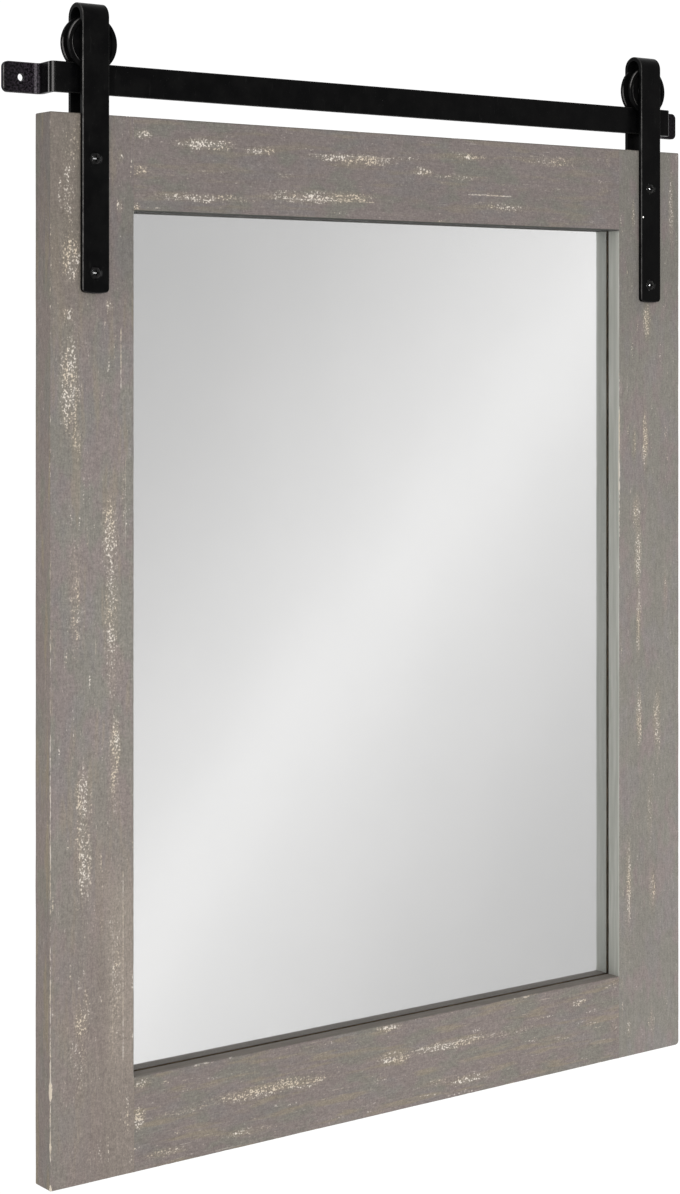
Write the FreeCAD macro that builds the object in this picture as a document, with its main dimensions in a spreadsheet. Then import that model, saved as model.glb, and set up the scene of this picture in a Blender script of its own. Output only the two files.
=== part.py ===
import FreeCAD, Part
import Sketcher
import math
import os
from FreeCAD import Vector, Placement, Rotation

# Wall mirror hung from a flat bar by two hanger straps with grooved wheels.
# Frame: +X to the viewer's right, +Y into the wall, +Z up, millimetres.
# Origin: midway between the two wall-screw holes, on the wall plane.

doc = FreeCAD.newDocument("wall_mirror")

# ---------------------------------------------------------------- sizes
SIZES = [
    # wooden frame
    ("frame_w", 559.0, "outer width of the frame"),
    ("frame_ht", 690.0, "outer height of the frame"),
    ("frame_t", 19.0, "thickness of the frame members"),
    ("frame_back", 8.0, "gap from the frame's back to the wall"),
    ("frame_top", 23.2, "frame top edge below the wall-screw holes"),
    ("stile_w", 63.0, "width of the side members"),
    ("rail_w", 62.0, "width of the cross members"),
    ("rebate_w", 8.0, "rebate width behind the front lip"),
    ("rebate_d", 7.2, "rebate depth from the back face"),
    ("arris", 1.0, "worn rounding of the frame's outer edges"),
    # dowels
    ("dowel_dia", 8.0, "corner dowel diameter"),
    ("dowel_len", 40.0, "corner dowel length"),
    ("dowel_hole", 8.1, "dowel hole diameter"),
    ("dowel_depth", 20.5, "dowel hole depth each side"),
    ("dowel_a", 15.0, "first dowel from the outer edge"),
    ("dowel_b", 41.0, "second dowel from the outer edge"),
    # glass and back
    ("glass_t", 3.0, "mirror plate thickness"),
    ("board_t", 4.0, "backing board thickness"),
    ("fit_gap", 1.0, "gap round the plate and the board"),
    ("clip_len", 20.0, "clip length"),
    ("clip_w", 10.0, "clip width"),
    ("clip_t", 0.8, "clip thickness"),
    ("clip_lap", 6.0, "clip overlap past the rebate wall"),
    ("clip_hole", 3.4, "clip hole diameter"),
    ("clip_inset", 8.0, "clip screw from the rebate wall"),
    ("clip_low", 120.0, "low and high clips from the frame's ends"),
    ("clip_side", 130.0, "cross-member clips from the centre line"),
    ("cscrew_dia", 2.8, "clip screw shank diameter"),
    ("cscrew_len", 8.0, "clip screw length in the wood"),
    ("cscrew_head", 6.0, "clip screw head diameter"),
    ("cscrew_ht", 1.8, "clip screw head height"),
    ("cscrew_pilot", 3.0, "clip screw pilot diameter"),
    ("bumper_dia", 14.0, "wall bumper diameter"),
    ("bumper_t", 7.6, "wall bumper thickness"),
    ("bumper_in", 22.0, "wall bumper from the frame's edges"),
    # flat bar
    ("bar_len", 600.0, "bar length tip to tip"),
    ("bar_ht", 20.0, "bar height"),
    ("bar_t", 3.0, "bar thickness"),
    ("bar_off", 19.3, "bar's rear face to the wall"),
    ("tab_len", 24.0, "end tab length from the jog"),
    ("jog_lean", 2.4, "lean of the jog, out from the wall to the bar"),
    ("bend_wall", 1.0, "inner bend radius beside the tab"),
    ("bend_bar", 0.5, "inner bend radius beside the bar"),
    ("tab_corner", 4.0, "tab corner radius"),
    ("tab_hole", 5.0, "wall-screw hole diameter"),
    ("hole_in", 13.0, "wall-screw hole from the bar's tip"),
    ("bar_edge", 0.45, "edge rounding of the bar"),
    # hanger straps
    ("strap_w", 20.0, "strap width"),
    ("strap_t", 3.0, "strap thickness"),
    ("strap_in", 12.4, "gap between the strap's legs"),
    ("strap_x", 32.4, "strap centre from the frame's edge"),
    ("strap_leg", 178.9, "front leg length below the loop's centre"),
    ("strap_rear", 62.2, "rear leg length below the loop's centre"),
    ("strap_corner", 3.0, "corner radius at the leg's end"),
    ("strap_sag", 1.1, "rise of the leg end's curve at its sides"),
    ("strap_edge", 0.45, "edge rounding of the strap"),
    ("axle_drop", 16.9, "axle below the loop's centre"),
    ("screw_a", 13.3, "lower screw from the leg's end"),
    ("screw_b", 87.1, "upper screw from the leg's end"),
    ("csk_dia", 9.5, "countersink diameter"),
    ("csk_hole", 4.4, "strap screw hole diameter"),
    # strap screws
    ("shead_dia", 7.6, "strap screw head diameter"),
    ("shead_sink", 0.95, "head rim below the strap's face"),
    ("shead_dome", 1.15, "head dome height"),
    ("sshank_dia", 3.8, "strap screw shank diameter"),
    ("sshank_len", 13.6, "strap screw length below the rim"),
    ("spilot_dia", 4.0, "pilot diameter in the stile"),
    ("spilot_len", 12.5, "pilot depth in the stile"),
    # wheels
    ("wheel_r", 18.4, "flange radius"),
    ("groove_r", 12.4, "groove bottom radius"),
    ("wheel_w", 11.0, "wheel width over the flanges"),
    ("hub_w", 10.2, "hub width"),
    ("hub_r", 8.0, "hub radius"),
    ("web_w", 8.6, "width at the recessed web"),
    ("rim_in", 15.4, "inner radius of the rim's raised ring"),
    ("rim_bevel", 0.5, "bevel on the flange's outer corner"),
    ("groove_top", 6.4, "groove width at the flange's rim"),
    ("groove_bot", 4.2, "groove width at the bottom"),
    ("bush_r", 4.5, "bush outer radius"),
    ("wheel_bore", 4.52, "wheel bore radius"),
    ("bush_bore", 3.05, "bush bore radius"),
    ("axle_r", 3.0, "axle radius"),
    ("axle_hole", 3.02, "axle hole radius in the strap"),
    ("washer_r", 5.5, "washer outer radius"),
    ("washer_bore", 3.15, "washer bore radius"),
    ("washer_t", 0.95, "washer thickness"),
    ("washer_gap", 0.08, "washer to hub face"),
]

sheet = doc.addObject("Spreadsheet::Sheet", "Sizes")
VALUE = {}
for row, (name, value, note) in enumerate(SIZES, start=1):
    sheet.set("A%d" % row, name)
    sheet.set("B%d" % row, repr(value))
    sheet.set("C%d" % row, note)
    sheet.setAlias("B%d" % row, name)
    VALUE[name] = value
doc.recompute()


class Q:
    """A size with its number and the sheet expression that drives it."""

    def __init__(self, v, e):
        self.v, self.e = float(v), e

    def _o(self, other):
        return other if isinstance(other, Q) else Q(other, repr(float(other)))

    def __add__(self, o):
        o = self._o(o)
        return Q(self.v + o.v, "(%s + %s)" % (self.e, o.e))

    def __sub__(self, o):
        o = self._o(o)
        return Q(self.v - o.v, "(%s - %s)" % (self.e, o.e))

    def __mul__(self, o):
        o = self._o(o)
        return Q(self.v * o.v, "(%s * %s)" % (self.e, o.e))

    def __truediv__(self, o):
        o = self._o(o)
        return Q(self.v / o.v, "(%s / %s)" % (self.e, o.e))

    def __neg__(self):
        return Q(-self.v, "(0 - %s)" % self.e)


def q(name):
    return Q(VALUE[name], "Sizes." + name)


ZERO = Q(0.0, "0")
NODES = []


def new_body(label, px=ZERO, py=ZERO, pz=ZERO):
    body = doc.addObject("PartDesign::Body", label)
    body.Label = label
    if "AllowCompound" in body.PropertiesList:
        body.AllowCompound = True
    body.Placement = Placement(Vector(px.v, py.v, pz.v), Rotation())
    for axis, val in (("x", px), ("y", py), ("z", pz)):
        body.setExpression("Placement.Base." + axis, val.e)
    NODES.append(body)
    return body


def plane(body, role):
    for f in body.Origin.OriginFeatures:
        if f.Role == role:
            return f
    raise RuntimeError("no plane " + role)


def sketch(body, role, name, offset=ZERO):
    sk = body.newObject("Sketcher::SketchObject", name)
    sk.AttachmentSupport = [(plane(body, role), "")]
    sk.MapMode = "FlatFace"
    sk.AttachmentOffset = Placement(Vector(0, 0, offset.v), Rotation())
    if offset.e != "0":
        sk.setExpression("AttachmentOffset.Base.z", offset.e)
    return sk


def place_point(sk, geo, pos, x, y):
    """Pin one point of the sketch to the origin by two driven distances."""
    for kind, axis, val in (("DistanceX", -2, x), ("DistanceY", -1, y)):
        if abs(val.v) < 1e-9:
            sk.addConstraint(Sketcher.Constraint("PointOnObject", geo, pos, axis))
        else:
            i = sk.addConstraint(Sketcher.Constraint(kind, -1, 1, geo, pos, val.v))
            sk.setExpression("Constraints[%d]" % i, val.e)


def profile(sk, items):
    """Closed outline. items: ("p", x, y) corners, or ("arc", r, x, y, turn)
    for an arc of radius r that ends at (x, y); turn +1 is left-hand."""
    pts = [(it[-2], it[-1]) if it[0] == "p" else (it[2], it[3]) for it in items]
    n = len(items)
    first = len(sk.Geometry)
    for i, it in enumerate(items):
        a, b = pts[i - 1], pts[i]
        va, vb = Vector(a[0].v, a[1].v, 0), Vector(b[0].v, b[1].v, 0)
        if it[0] == "p":
            sk.addGeometry(Part.LineSegment(va, vb), False)
        else:
            r, turn = it[1].v, it[4]
            d = vb - va
            half = d.Length / 2.0
            up = math.sqrt(max(r * r - half * half, 0.0))
            nrm = Vector(-d.y, d.x, 0).normalize()
            c = (va + vb) * 0.5 + nrm * (up * turn)
            aa = math.atan2(va.y - c.y, va.x - c.x)
            ab = math.atan2(vb.y - c.y, vb.x - c.x)
            if turn > 0:
                arc = Part.ArcOfCircle(Part.Circle(c, Vector(0, 0, 1), r), aa, ab if ab > aa else ab + 2 * math.pi)
            else:
                arc = Part.ArcOfCircle(Part.Circle(c, Vector(0, 0, 1), r), ab, aa if aa > ab else aa + 2 * math.pi)
            sk.addGeometry(arc, False)
    for i, it in enumerate(items):
        g = first + i
        nxt = first + (i + 1) % n
        # positions of the start and the end point of this edge and the next
        start = 1 if it[0] == "p" or it[4] > 0 else 2
        end = 2 if start == 1 else 1
        nit = items[(i + 1) % n]
        nstart = 1 if nit[0] == "p" or nit[4] > 0 else 2
        sk.addConstraint(Sketcher.Constraint("Coincident", g, end, nxt, nstart))
        place_point(sk, g, start, *pts[i - 1])
        if it[0] == "arc":
            k = sk.addConstraint(Sketcher.Constraint("Radius", g, it[1].v))
            sk.setExpression("Constraints[%d]" % k, it[1].e)


def rect(sk, x0, y0, w, ht):
    x1, y1 = x0 + w, y0 + ht
    profile(sk, [("p", x0, y0), ("p", x1, y0), ("p", x1, y1), ("p", x0, y1)])


def circle(sk, x, y, dia):
    g = sk.addGeometry(Part.Circle(Vector(x.v, y.v, 0), Vector(0, 0, 1), dia.v / 2.0), False)
    place_point(sk, g, 3, x, y)
    i = sk.addConstraint(Sketcher.Constraint("Diameter", g, dia.v))
    sk.setExpression("Constraints[%d]" % i, dia.e)


def cross(sk, x, y, half, arm):
    """Upright cross, arm half-length and half-width."""
    pts = [(half, -arm), (half, arm), (arm, arm), (arm, half), (-arm, half), (-arm, arm),
           (-half, arm), (-half, -arm), (-arm, -arm), (-arm, -half), (arm, -half), (arm, -arm)]
    profile(sk, [("p", x + a, y + b) for a, b in pts])


def pad(body, sk, length, name, both=False, flip=False):
    f = body.newObject("PartDesign::Pad", name)
    f.Profile = sk
    f.Length = length.v
    f.setExpression("Length", length.e)
    if both:
        if "SideType" in f.PropertiesList:
            f.SideType = "Symmetric"
        else:
            f.Midplane = True
    if flip:
        f.Reversed = True
    doc.recompute()
    return f


def pocket(body, sk, length, name, flip=False, through=False, taper=None):
    before = body.Shape.Volume
    f = body.newObject("PartDesign::Pocket", name)
    f.Profile = sk
    if through:
        f.Type = "ThroughAll"
        if "SideType" in f.PropertiesList:
            f.SideType = "Symmetric"
        else:
            f.Midplane = True
    else:
        f.Length = length.v
        f.setExpression("Length", length.e)
        if flip:
            f.Reversed = True
    if taper is not None:
        f.TaperAngle = taper
    doc.recompute()
    if not body.Shape.Volume < before - 1e-3:
        raise RuntimeError("%s cuts nothing in %s" % (name, body.Label))
    return f


def revolve(body, sk, name, cut=False):
    before = body.Shape.Volume if body.Tip else 0.0
    f = body.newObject("PartDesign::Groove" if cut else "PartDesign::Revolution", name)
    f.Profile = sk
    f.ReferenceAxis = (sk, ["V_Axis"])
    f.Angle = 360.0
    doc.recompute()
    if cut and not body.Shape.Volume < before - 1e-3:
        raise RuntimeError("%s cuts nothing in %s" % (name, body.Label))
    return f


def edges_where(shape, test):
    out = []
    for i, e in enumerate(shape.Edges, start=1):
        b = e.BoundBox
        if test(e, b):
            out.append("Edge%d" % i)
    return out


def fillet(body, radius, test, name):
    base = body.Tip
    names = edges_where(base.Shape, test)
    if not names:
        raise RuntimeError("%s finds no edge in %s" % (name, body.Label))
    f = body.newObject("PartDesign::Fillet", name)
    f.Base = (base, names)
    f.Radius = radius.v
    f.setExpression("Radius", radius.e)
    doc.recompute()
    return f


def near(a, b, tol=1e-3):
    return abs(a - b) < tol


# ---------------------------------------------------------------- shared positions
W, HT, TH = q("frame_w"), q("frame_ht"), q("frame_t")
SW, RW = q("stile_w"), q("rail_w")
FRONT = -(q("frame_back") + TH)                 # frame's front face, Y
BOTTOM = -(q("frame_top") + HT)                 # frame's bottom edge, Z
AX_Z = q("bar_ht") / 2 + 0.3 + q("groove_r")    # axle height: groove 0.3 above the bar's top
LOOP_Z = AX_Z + q("axle_drop")                  # centre of the strap's loop, Z
STRAP_OUT = q("strap_in") + q("strap_t") * 2
STRAP_Y = FRONT - q("strap_t")                  # strap's front face, Y
STRAP_X = W / 2 - q("strap_x")
LEG_Z = LOOP_Z - q("strap_leg")                 # front leg's lower end, Z
AX_Y = FRONT + q("strap_in") / 2                # middle of the wheel, Y
OPEN_W = W - SW * 2
OPEN_H = HT - RW * 2


# ---------------------------------------------------------------- flat bar
# One strip bent twice at each end, in plan; the tabs lie on the wall plane.
bar = new_body("rail_bar")
sk = sketch(bar, "XY_Plane", "BarPlan")
L = q("bar_len") / 2
J = L - q("tab_len")                             # jog's front corner
t_, so = q("bar_t"), q("bar_off")
front = -(so + t_)
lean = q("jog_lean") / so
slant = lean * lean + 1
tx = t_ * Q(math.sqrt(slant.v), "sqrt(%s)" % slant.e)   # strip thickness along X
JW = J - q("jog_lean")                           # jog's corner beside the tab
JR = JW - t_ * lean - tx                         # its rear corner on the wall plane
JB = JW + (so - t_) * lean - tx                  # the rear corner behind the bar
half_path = [(L, -t_), (JW, -t_), (J, front)]
back_path = [(L, ZERO), (JR, ZERO), (JB, -so)]
items = [("p", -x, y) for x, y in half_path]
items += [("p", x, y) for x, y in reversed(half_path)]
items += [("p", x, y) for x, y in back_path]
items += [("p", -x, y) for x, y in reversed(back_path)]
profile(sk, items)
pad(bar, sk, q("bar_ht"), "BarPad", both=True)
for name_, (cx_, cy_), rad in (("BendTab", (JW, -t_), q("bend_wall")), ("BendTabRear", (JR, ZERO), q("bend_wall") + t_),
                               ("BendBar", (J, front), q("bend_bar") + t_), ("BendBarRear", (JB, -so), q("bend_bar"))):
    fillet(bar, rad, lambda e, b, x_=cx_.v, y_=cy_.v: near(abs(b.Center.x), x_, 0.01) and near(b.Center.y, y_, 0.01) and b.ZLength > 5, name_)
sk = sketch(bar, "XZ_Plane", "TabHoles")
circle(sk, L - q("hole_in"), ZERO, q("tab_hole"))
circle(sk, -(L - q("hole_in")), ZERO, q("tab_hole"))
pocket(bar, sk, t_, "TabHolePocket", through=True)
fillet(bar, q("tab_corner"), lambda e, b: near(abs(b.Center.x), L.v) and b.YLength > 2.9 and b.XLength < 0.01 and b.ZLength < 0.01, "TabCorners")
fillet(bar, q("bar_edge"),
       lambda e, b: near(abs(b.ZMax), VALUE["bar_ht"] / 2) and near(b.ZLength, 0) and b.XLength > 5 and near(b.YMin, front.v),
       "BarFrontEdges")


# ---------------------------------------------------------------- wooden frame
def stile(label, side):
    """Full-height side member, rebated behind its inner edge between the rails."""
    x0 = -(W / 2) if side < 0 else W / 2 - SW
    b = new_body(label, x0, FRONT, BOTTOM)
    s = sketch(b, "XY_Plane", label + "Section")
    rect(s, ZERO, ZERO, SW, TH)
    pad(b, s, HT, label + "Pad")
    # rebate, cut from the inner face towards the outer edge
    if side < 0:
        s = sketch(b, "YZ_Plane", label + "Rebate", SW)
        rect(s, TH - q("rebate_d"), RW - q("rebate_w"), q("rebate_d"), OPEN_H + q("rebate_w") * 2)
        pocket(b, s, q("rebate_w"), label + "RebateCut")
        s = sketch(b, "YZ_Plane", label + "DowelHoles", SW)
    else:
        s = sketch(b, "YZ_Plane", label + "Rebate")
        rect(s, TH - q("rebate_d"), RW - q("rebate_w"), q("rebate_d"), OPEN_H + q("rebate_w") * 2)
        pocket(b, s, q("rebate_w"), label + "RebateCut", flip=True)
        s = sketch(b, "YZ_Plane", label + "DowelHoles")
    for z in (q("dowel_a"), q("dowel_b"), HT - q("dowel_a"), HT - q("dowel_b")):
        circle(s, TH / 2, z, q("dowel_hole"))
    pocket(b, s, q("dowel_depth"), label + "DowelCut", flip=side > 0)
    # pilot holes for the strap screws, from the front face
    s = sketch(b, "XZ_Plane", label + "StrapPilots")
    sx = q("strap_x") if side < 0 else SW - q("strap_x")
    for z in (q("screw_a"), q("screw_b")):
        circle(s, sx, LEG_Z - BOTTOM + z, q("spilot_dia"))
    pocket(b, s, q("spilot_len"), label + "StrapPilotCut", flip=False)
    # pilot holes for the clip screws, from the back face
    s = sketch(b, "XZ_Plane", label + "ClipPilots", -TH)
    inset = q("rebate_w") + q("clip_inset")
    cx = SW - inset if side < 0 else inset
    for z in (q("clip_low"), HT / 2, HT - q("clip_low")):
        circle(s, cx, z, q("cscrew_pilot"))
    pocket(b, s, q("cscrew_len") + 0.8, label + "ClipPilotCut", flip=True)
    outer = 0.0 if side < 0 else VALUE["stile_w"]
    fillet(b, q("arris"), lambda e, bb: near(bb.ZLength, VALUE["frame_ht"]) and near(bb.XMin, outer) and near(bb.XMax, outer), label + "Arris")
    return b


def cross_rail(label, side):
    """Cross member butted between the stiles, rebated along its inner edge."""
    z0 = BOTTOM if side < 0 else BOTTOM + HT - RW
    b = new_body(label, -(OPEN_W / 2), FRONT, z0)
    s = sketch(b, "YZ_Plane", label + "Section")
    if side < 0:
        pts = [(ZERO, ZERO), (TH, ZERO), (TH, RW - q("rebate_w")), (TH - q("rebate_d"), RW - q("rebate_w")),
               (TH - q("rebate_d"), RW), (ZERO, RW)]
    else:
        pts = [(ZERO, ZERO), (TH - q("rebate_d"), ZERO), (TH - q("rebate_d"), q("rebate_w")), (TH, q("rebate_w")),
               (TH, RW), (ZERO, RW)]
    profile(s, [("p", a, c) for a, c in pts])
    pad(b, s, OPEN_W, label + "Pad")
    zs = (q("dowel_a"), q("dowel_b")) if side < 0 else (RW - q("dowel_a"), RW - q("dowel_b"))
    s = sketch(b, "YZ_Plane", label + "DowelLeft")
    for z in zs:
        circle(s, TH / 2, z, q("dowel_hole"))
    pocket(b, s, q("dowel_depth"), label + "DowelLeftCut", flip=True)
    s = sketch(b, "YZ_Plane", label + "DowelRight", OPEN_W)
    for z in zs:
        circle(s, TH / 2, z, q("dowel_hole"))
    pocket(b, s, q("dowel_depth"), label + "DowelRightCut")
    s = sketch(b, "XZ_Plane", label + "ClipPilots", -TH)
    inset = q("rebate_w") + q("clip_inset")
    cz = RW - inset if side < 0 else inset
    for x in (OPEN_W / 2 - q("clip_side"), OPEN_W / 2 + q("clip_side")):
        circle(s, x, cz, q("cscrew_pilot"))
    pocket(b, s, q("cscrew_len") + 0.8, label + "ClipPilotCut", flip=True)
    return b


left_stile = stile("left_stile", -1)
right_stile = stile("right_stile", 1)
top_rail = cross_rail("top_rail", 1)
bottom_rail = cross_rail("bottom_rail", -1)

dowels = new_body("corner_dowels", ZERO, FRONT, BOTTOM)
for tag, x in (("Left", -(OPEN_W / 2)), ("Right", OPEN_W / 2)):
    sk = sketch(dowels, "YZ_Plane", "Dowels" + tag, x)
    for z in (q("dowel_a"), q("dowel_b"), HT - q("dowel_a"), HT - q("dowel_b")):
        circle(sk, TH / 2, z, q("dowel_dia"))
    pad(dowels, sk, q("dowel_len"), "Dowel%sPad" % tag, both=True)

# ---------------------------------------------------------------- mirror plate and back
PANE_W = OPEN_W + q("rebate_w") * 2 - q("fit_gap") * 2
PANE_H = OPEN_H + q("rebate_w") * 2 - q("fit_gap") * 2
REB_Y = FRONT + TH - q("rebate_d")
PANE_Z = BOTTOM + RW - q("rebate_w") + q("fit_gap")


def panel(label, y0, thick):
    b = new_body(label, -(PANE_W / 2), y0, PANE_Z)
    s = sketch(b, "XZ_Plane", label + "Outline")
    rect(s, ZERO, ZERO, PANE_W, PANE_H)
    pad(b, s, thick, label + "Pad", flip=True)
    return b


mirror_glass = panel("mirror_glass", REB_Y, q("glass_t"))
backing_board = panel("backing_board", REB_Y + q("glass_t"), q("board_t"))

# clips: sites as centre-line distances, (x, z, lies along x)
BACK = FRONT + TH
INS = q("rebate_w") + q("clip_inset")
SITES = []
for sx in (-1, 1):
    hx = (W / 2 - SW + INS) * sx
    for z in (q("clip_low"), HT / 2, HT - q("clip_low")):
        SITES.append((hx, z, sx, 0))
for x in (-q("clip_side"), q("clip_side")):
    SITES.append((x, RW - INS, 0, -1))
    SITES.append((x, HT - RW + INS, 0, 1))

clips = new_body("backing_clips", ZERO, BACK, BOTTOM)
sk = sketch(clips, "XZ_Plane", "ClipOutlines")
reach = q("clip_inset") + q("clip_lap")          # screw to the clip's tip
tail = q("clip_len") - reach                     # screw to the clip's other end
half = q("clip_w") / 2
for hx, z, sx, sz in SITES:
    if sx:
        x0 = hx - tail if sx < 0 else hx - reach
        rect(sk, x0, z - half, q("clip_len"), q("clip_w"))
    else:
        z0 = z - tail if sz < 0 else z - reach
        rect(sk, hx - half, z0, q("clip_w"), q("clip_len"))
    circle(sk, hx, z, q("clip_hole"))
pad(clips, sk, q("clip_t"), "ClipPad", flip=True)

cscrews = new_body("clip_screws", ZERO, BACK, BOTTOM)
sk = sketch(cscrews, "XZ_Plane", "ScrewShanks")
for hx, z, sx, sz in SITES:
    circle(sk, hx, z, q("cscrew_dia"))
f = cscrews.newObject("PartDesign::Pad", "ShankPad")
f.Profile = sk
f.Length = VALUE["cscrew_len"]
f.setExpression("Length", q("cscrew_len").e)
doc.recompute()
sk = sketch(cscrews, "XZ_Plane", "ScrewNecks")
for hx, z, sx, sz in SITES:
    circle(sk, hx, z, q("cscrew_dia"))
pad(cscrews, sk, q("clip_t") + 0.02, "NeckPad", flip=True)
sk = sketch(cscrews, "XZ_Plane", "ScrewHeads", -(q("clip_t") + 0.02))
for hx, z, sx, sz in SITES:
    circle(sk, hx, z, q("cscrew_head"))
pad(cscrews, sk, q("cscrew_ht"), "HeadPad", flip=True)
top_y = VALUE["clip_t"] + 0.02 + VALUE["cscrew_ht"]
fillet(cscrews, Q(1.2, "1.2"), lambda e, b: near(b.YMin, top_y) and near(b.YMax, top_y), "HeadDome")
sk = sketch(cscrews, "XZ_Plane", "HeadRecess", -(q("clip_t") + 0.02 + q("cscrew_ht")))
for hx, z, sx, sz in SITES:
    cross(sk, hx, z, 1.5, 0.38)
pocket(cscrews, sk, Q(1.1, "1.1"), "HeadRecessCut", flip=True)

bumpers = new_body("wall_bumpers", ZERO, BACK, BOTTOM)
sk = sketch(bumpers, "XZ_Plane", "BumperOutlines")
for x in (-(W / 2 - q("bumper_in")), W / 2 - q("bumper_in")):
    circle(sk, x, q("bumper_in"), q("bumper_dia"))
pad(bumpers, sk, q("bumper_t"), "BumperPad", flip=True)
fillet(bumpers, Q(2.5, "2.5"), lambda e, b: near(b.YMin, VALUE["bumper_t"]) and near(b.YMax, VALUE["bumper_t"]), "BumperEdge")


# ---------------------------------------------------------------- hanger straps
def strap(label, x):
    """Flat strip bent over in a loop: local Z from the front leg's lower end,
    local Y from its front face."""
    b = new_body(label, x, STRAP_Y, LEG_Z)
    s = sketch(b, "YZ_Plane", label + "Side")
    t, out, leg = q("strap_t"), STRAP_OUT, q("strap_leg")
    rear = leg - q("strap_rear")
    r_out, r_in = out / 2, q("strap_in") / 2
    profile(s, [
        ("p", ZERO, ZERO),
        ("p", t, ZERO),
        ("p", t, leg),
        ("arc", r_in, t + r_in, leg + r_in, -1),
        ("arc", r_in, out - t, leg, -1),
        ("p", out - t, rear),
        ("p", out, rear),
        ("p", out, leg),
        ("arc", r_out, r_out, leg + r_out, 1),
        ("arc", r_out, ZERO, leg, 1),
    ])
    pad(b, s, q("strap_w"), label + "Pad", both=True)
    # countersunk screw holes in the front leg
    s = sketch(b, "XZ_Plane", label + "ScrewHoles")
    for z in (q("screw_a"), q("screw_b")):
        circle(s, ZERO, z, q("csk_hole"))
    pocket(b, s, t, label + "ScrewHoleCut", flip=False)
    for tag, z in (("Low", q("screw_a")), ("High", q("screw_b"))):
        s = sketch(b, "YZ_Plane", label + "Csk" + tag)
        d, hole = q("csk_dia") / 2, q("csk_hole") / 2
        deep = d - hole
        profile(s, [("p", ZERO, z), ("p", ZERO, z + d), ("p", deep, z + hole), ("p", deep, z)])
        before = b.Shape.Volume
        g = b.newObject("PartDesign::Groove", label + "Csk%sCut" % tag)
        g.Profile = s
        g.ReferenceAxis = (s, ["Edge1"])
        g.Angle = 360.0
        doc.recompute()
        if not b.Shape.Volume < before - 1e-3:
            raise RuntimeError("countersink cuts nothing in " + label)
    # axle holes through both legs
    s = sketch(b, "XZ_Plane", label + "AxleHoles")
    circle(s, ZERO, leg - q("axle_drop"), q("axle_hole") * 2)
    pocket(b, s, t, label + "AxleHoleCut", through=True)
    # the front leg's end is cut to a shallow curve
    hw, sag = q("strap_w") / 2, q("strap_sag")
    s = sketch(b, "XZ_Plane", label + "EndCurve")
    profile(s, [("p", -hw, Q(-1, "-1")), ("p", hw, Q(-1, "-1")), ("p", hw, sag), ("arc", (hw * hw + sag * sag) / (sag * 2), -hw, sag, -1)])
    pocket(b, s, t, label + "EndCurveCut", through=True)
    half_w = hw.v
    fillet(b, q("strap_corner"), lambda e, bb: near(bb.ZMax, sag.v) and near(abs(bb.Center.x), half_w) and bb.YLength > 2.9 and bb.ZLength < 0.01, label + "EndCorners")
    fillet(b, q("strap_edge"),
           lambda e, bb: near(bb.YMin, 0) and near(bb.YMax, 0) and near(abs(bb.Center.x), half_w) and bb.ZLength > 50 and near(bb.XLength, 0),
           label + "FrontEdges")
    return b


left_strap = strap("left_hanger_strap", -STRAP_X)
right_strap = strap("right_hanger_strap", STRAP_X)


# ---------------------------------------------------------------- strap screws
def strap_screws(label, x):
    """Oval-head countersunk wood screws, axis along local Y, head at -Y."""
    b = new_body(label, x, STRAP_Y + q("shead_sink"), LEG_Z + q("screw_a"))
    s = sketch(b, "XY_Plane", label + "Outline")
    hr, sr = q("shead_dia") / 2, q("sshank_dia") / 2
    dome = q("shead_dome")
    dome_r = (hr * hr + dome * dome) / (dome * 2)
    ln = q("sshank_len")
    profile(s, [
        ("p", ZERO, -dome),
        ("arc", dome_r, hr, ZERO, 1),
        ("p", sr, hr - sr),
        ("p", sr, ln - 3.5),
        ("p", ZERO, ln),
    ])
    rv = revolve(b, s, label + "Turned")
    s = sketch(b, "XZ_Plane", label + "Recess", dome)
    cross(s, ZERO, ZERO, 2.1, 0.48)
    pk = pocket(b, s, Q(1.9, "1.9"), label + "RecessCut", flip=False)
    lp = b.newObject("PartDesign::LinearPattern", label + "Pair")
    lp.Originals = [rv, pk]
    lp.Direction = (plane(b, "Z_Axis"), [""])
    lp.Length = VALUE["screw_b"] - VALUE["screw_a"]
    lp.setExpression("Length", (q("screw_b") - q("screw_a")).e)
    lp.Occurrences = 2
    b.Tip = lp
    doc.recompute()
    return b


strap_screws("left_strap_screws", -STRAP_X)
strap_screws("right_strap_screws", STRAP_X)


# ---------------------------------------------------------------- wheels, bushes, axles, washers
def turned(label, x, y, pts):
    """Turned piece about local Y: pts are (radius, along)."""
    b = new_body(label, x, y, AX_Z)
    s = sketch(b, "XY_Plane", label + "Outline")
    profile(s, [("p", a, c) for a, c in pts])
    revolve(b, s, label + "Turned")
    return b


def wheel(label, x):
    r, g, w = q("wheel_r"), q("groove_r"), q("wheel_w") / 2
    hw, hr, ww = q("hub_w") / 2, q("hub_r"), q("web_w") / 2
    ri_, bev = q("rim_in"), q("rim_bevel")
    gt, gb, bore = q("groove_top") / 2, q("groove_bot") / 2, q("wheel_bore")
    b = turned(label, x, AX_Y, [
        (bore, -hw), (hr, -hw), (hr + 0.6, -ww), (ri_ - 0.8, -ww), (ri_, -w), (r - bev, -w), (r, -w + bev),
        (r, -gt - 0.35), (r - 0.35, -gt), (g, -gb),
        (g, gb), (r - 0.35, gt), (r, gt + 0.35), (r, w - bev), (r - bev, w), (ri_, w), (ri_ - 0.8, ww),
        (hr + 0.6, ww), (hr, hw), (bore, hw)])
    return b


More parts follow.
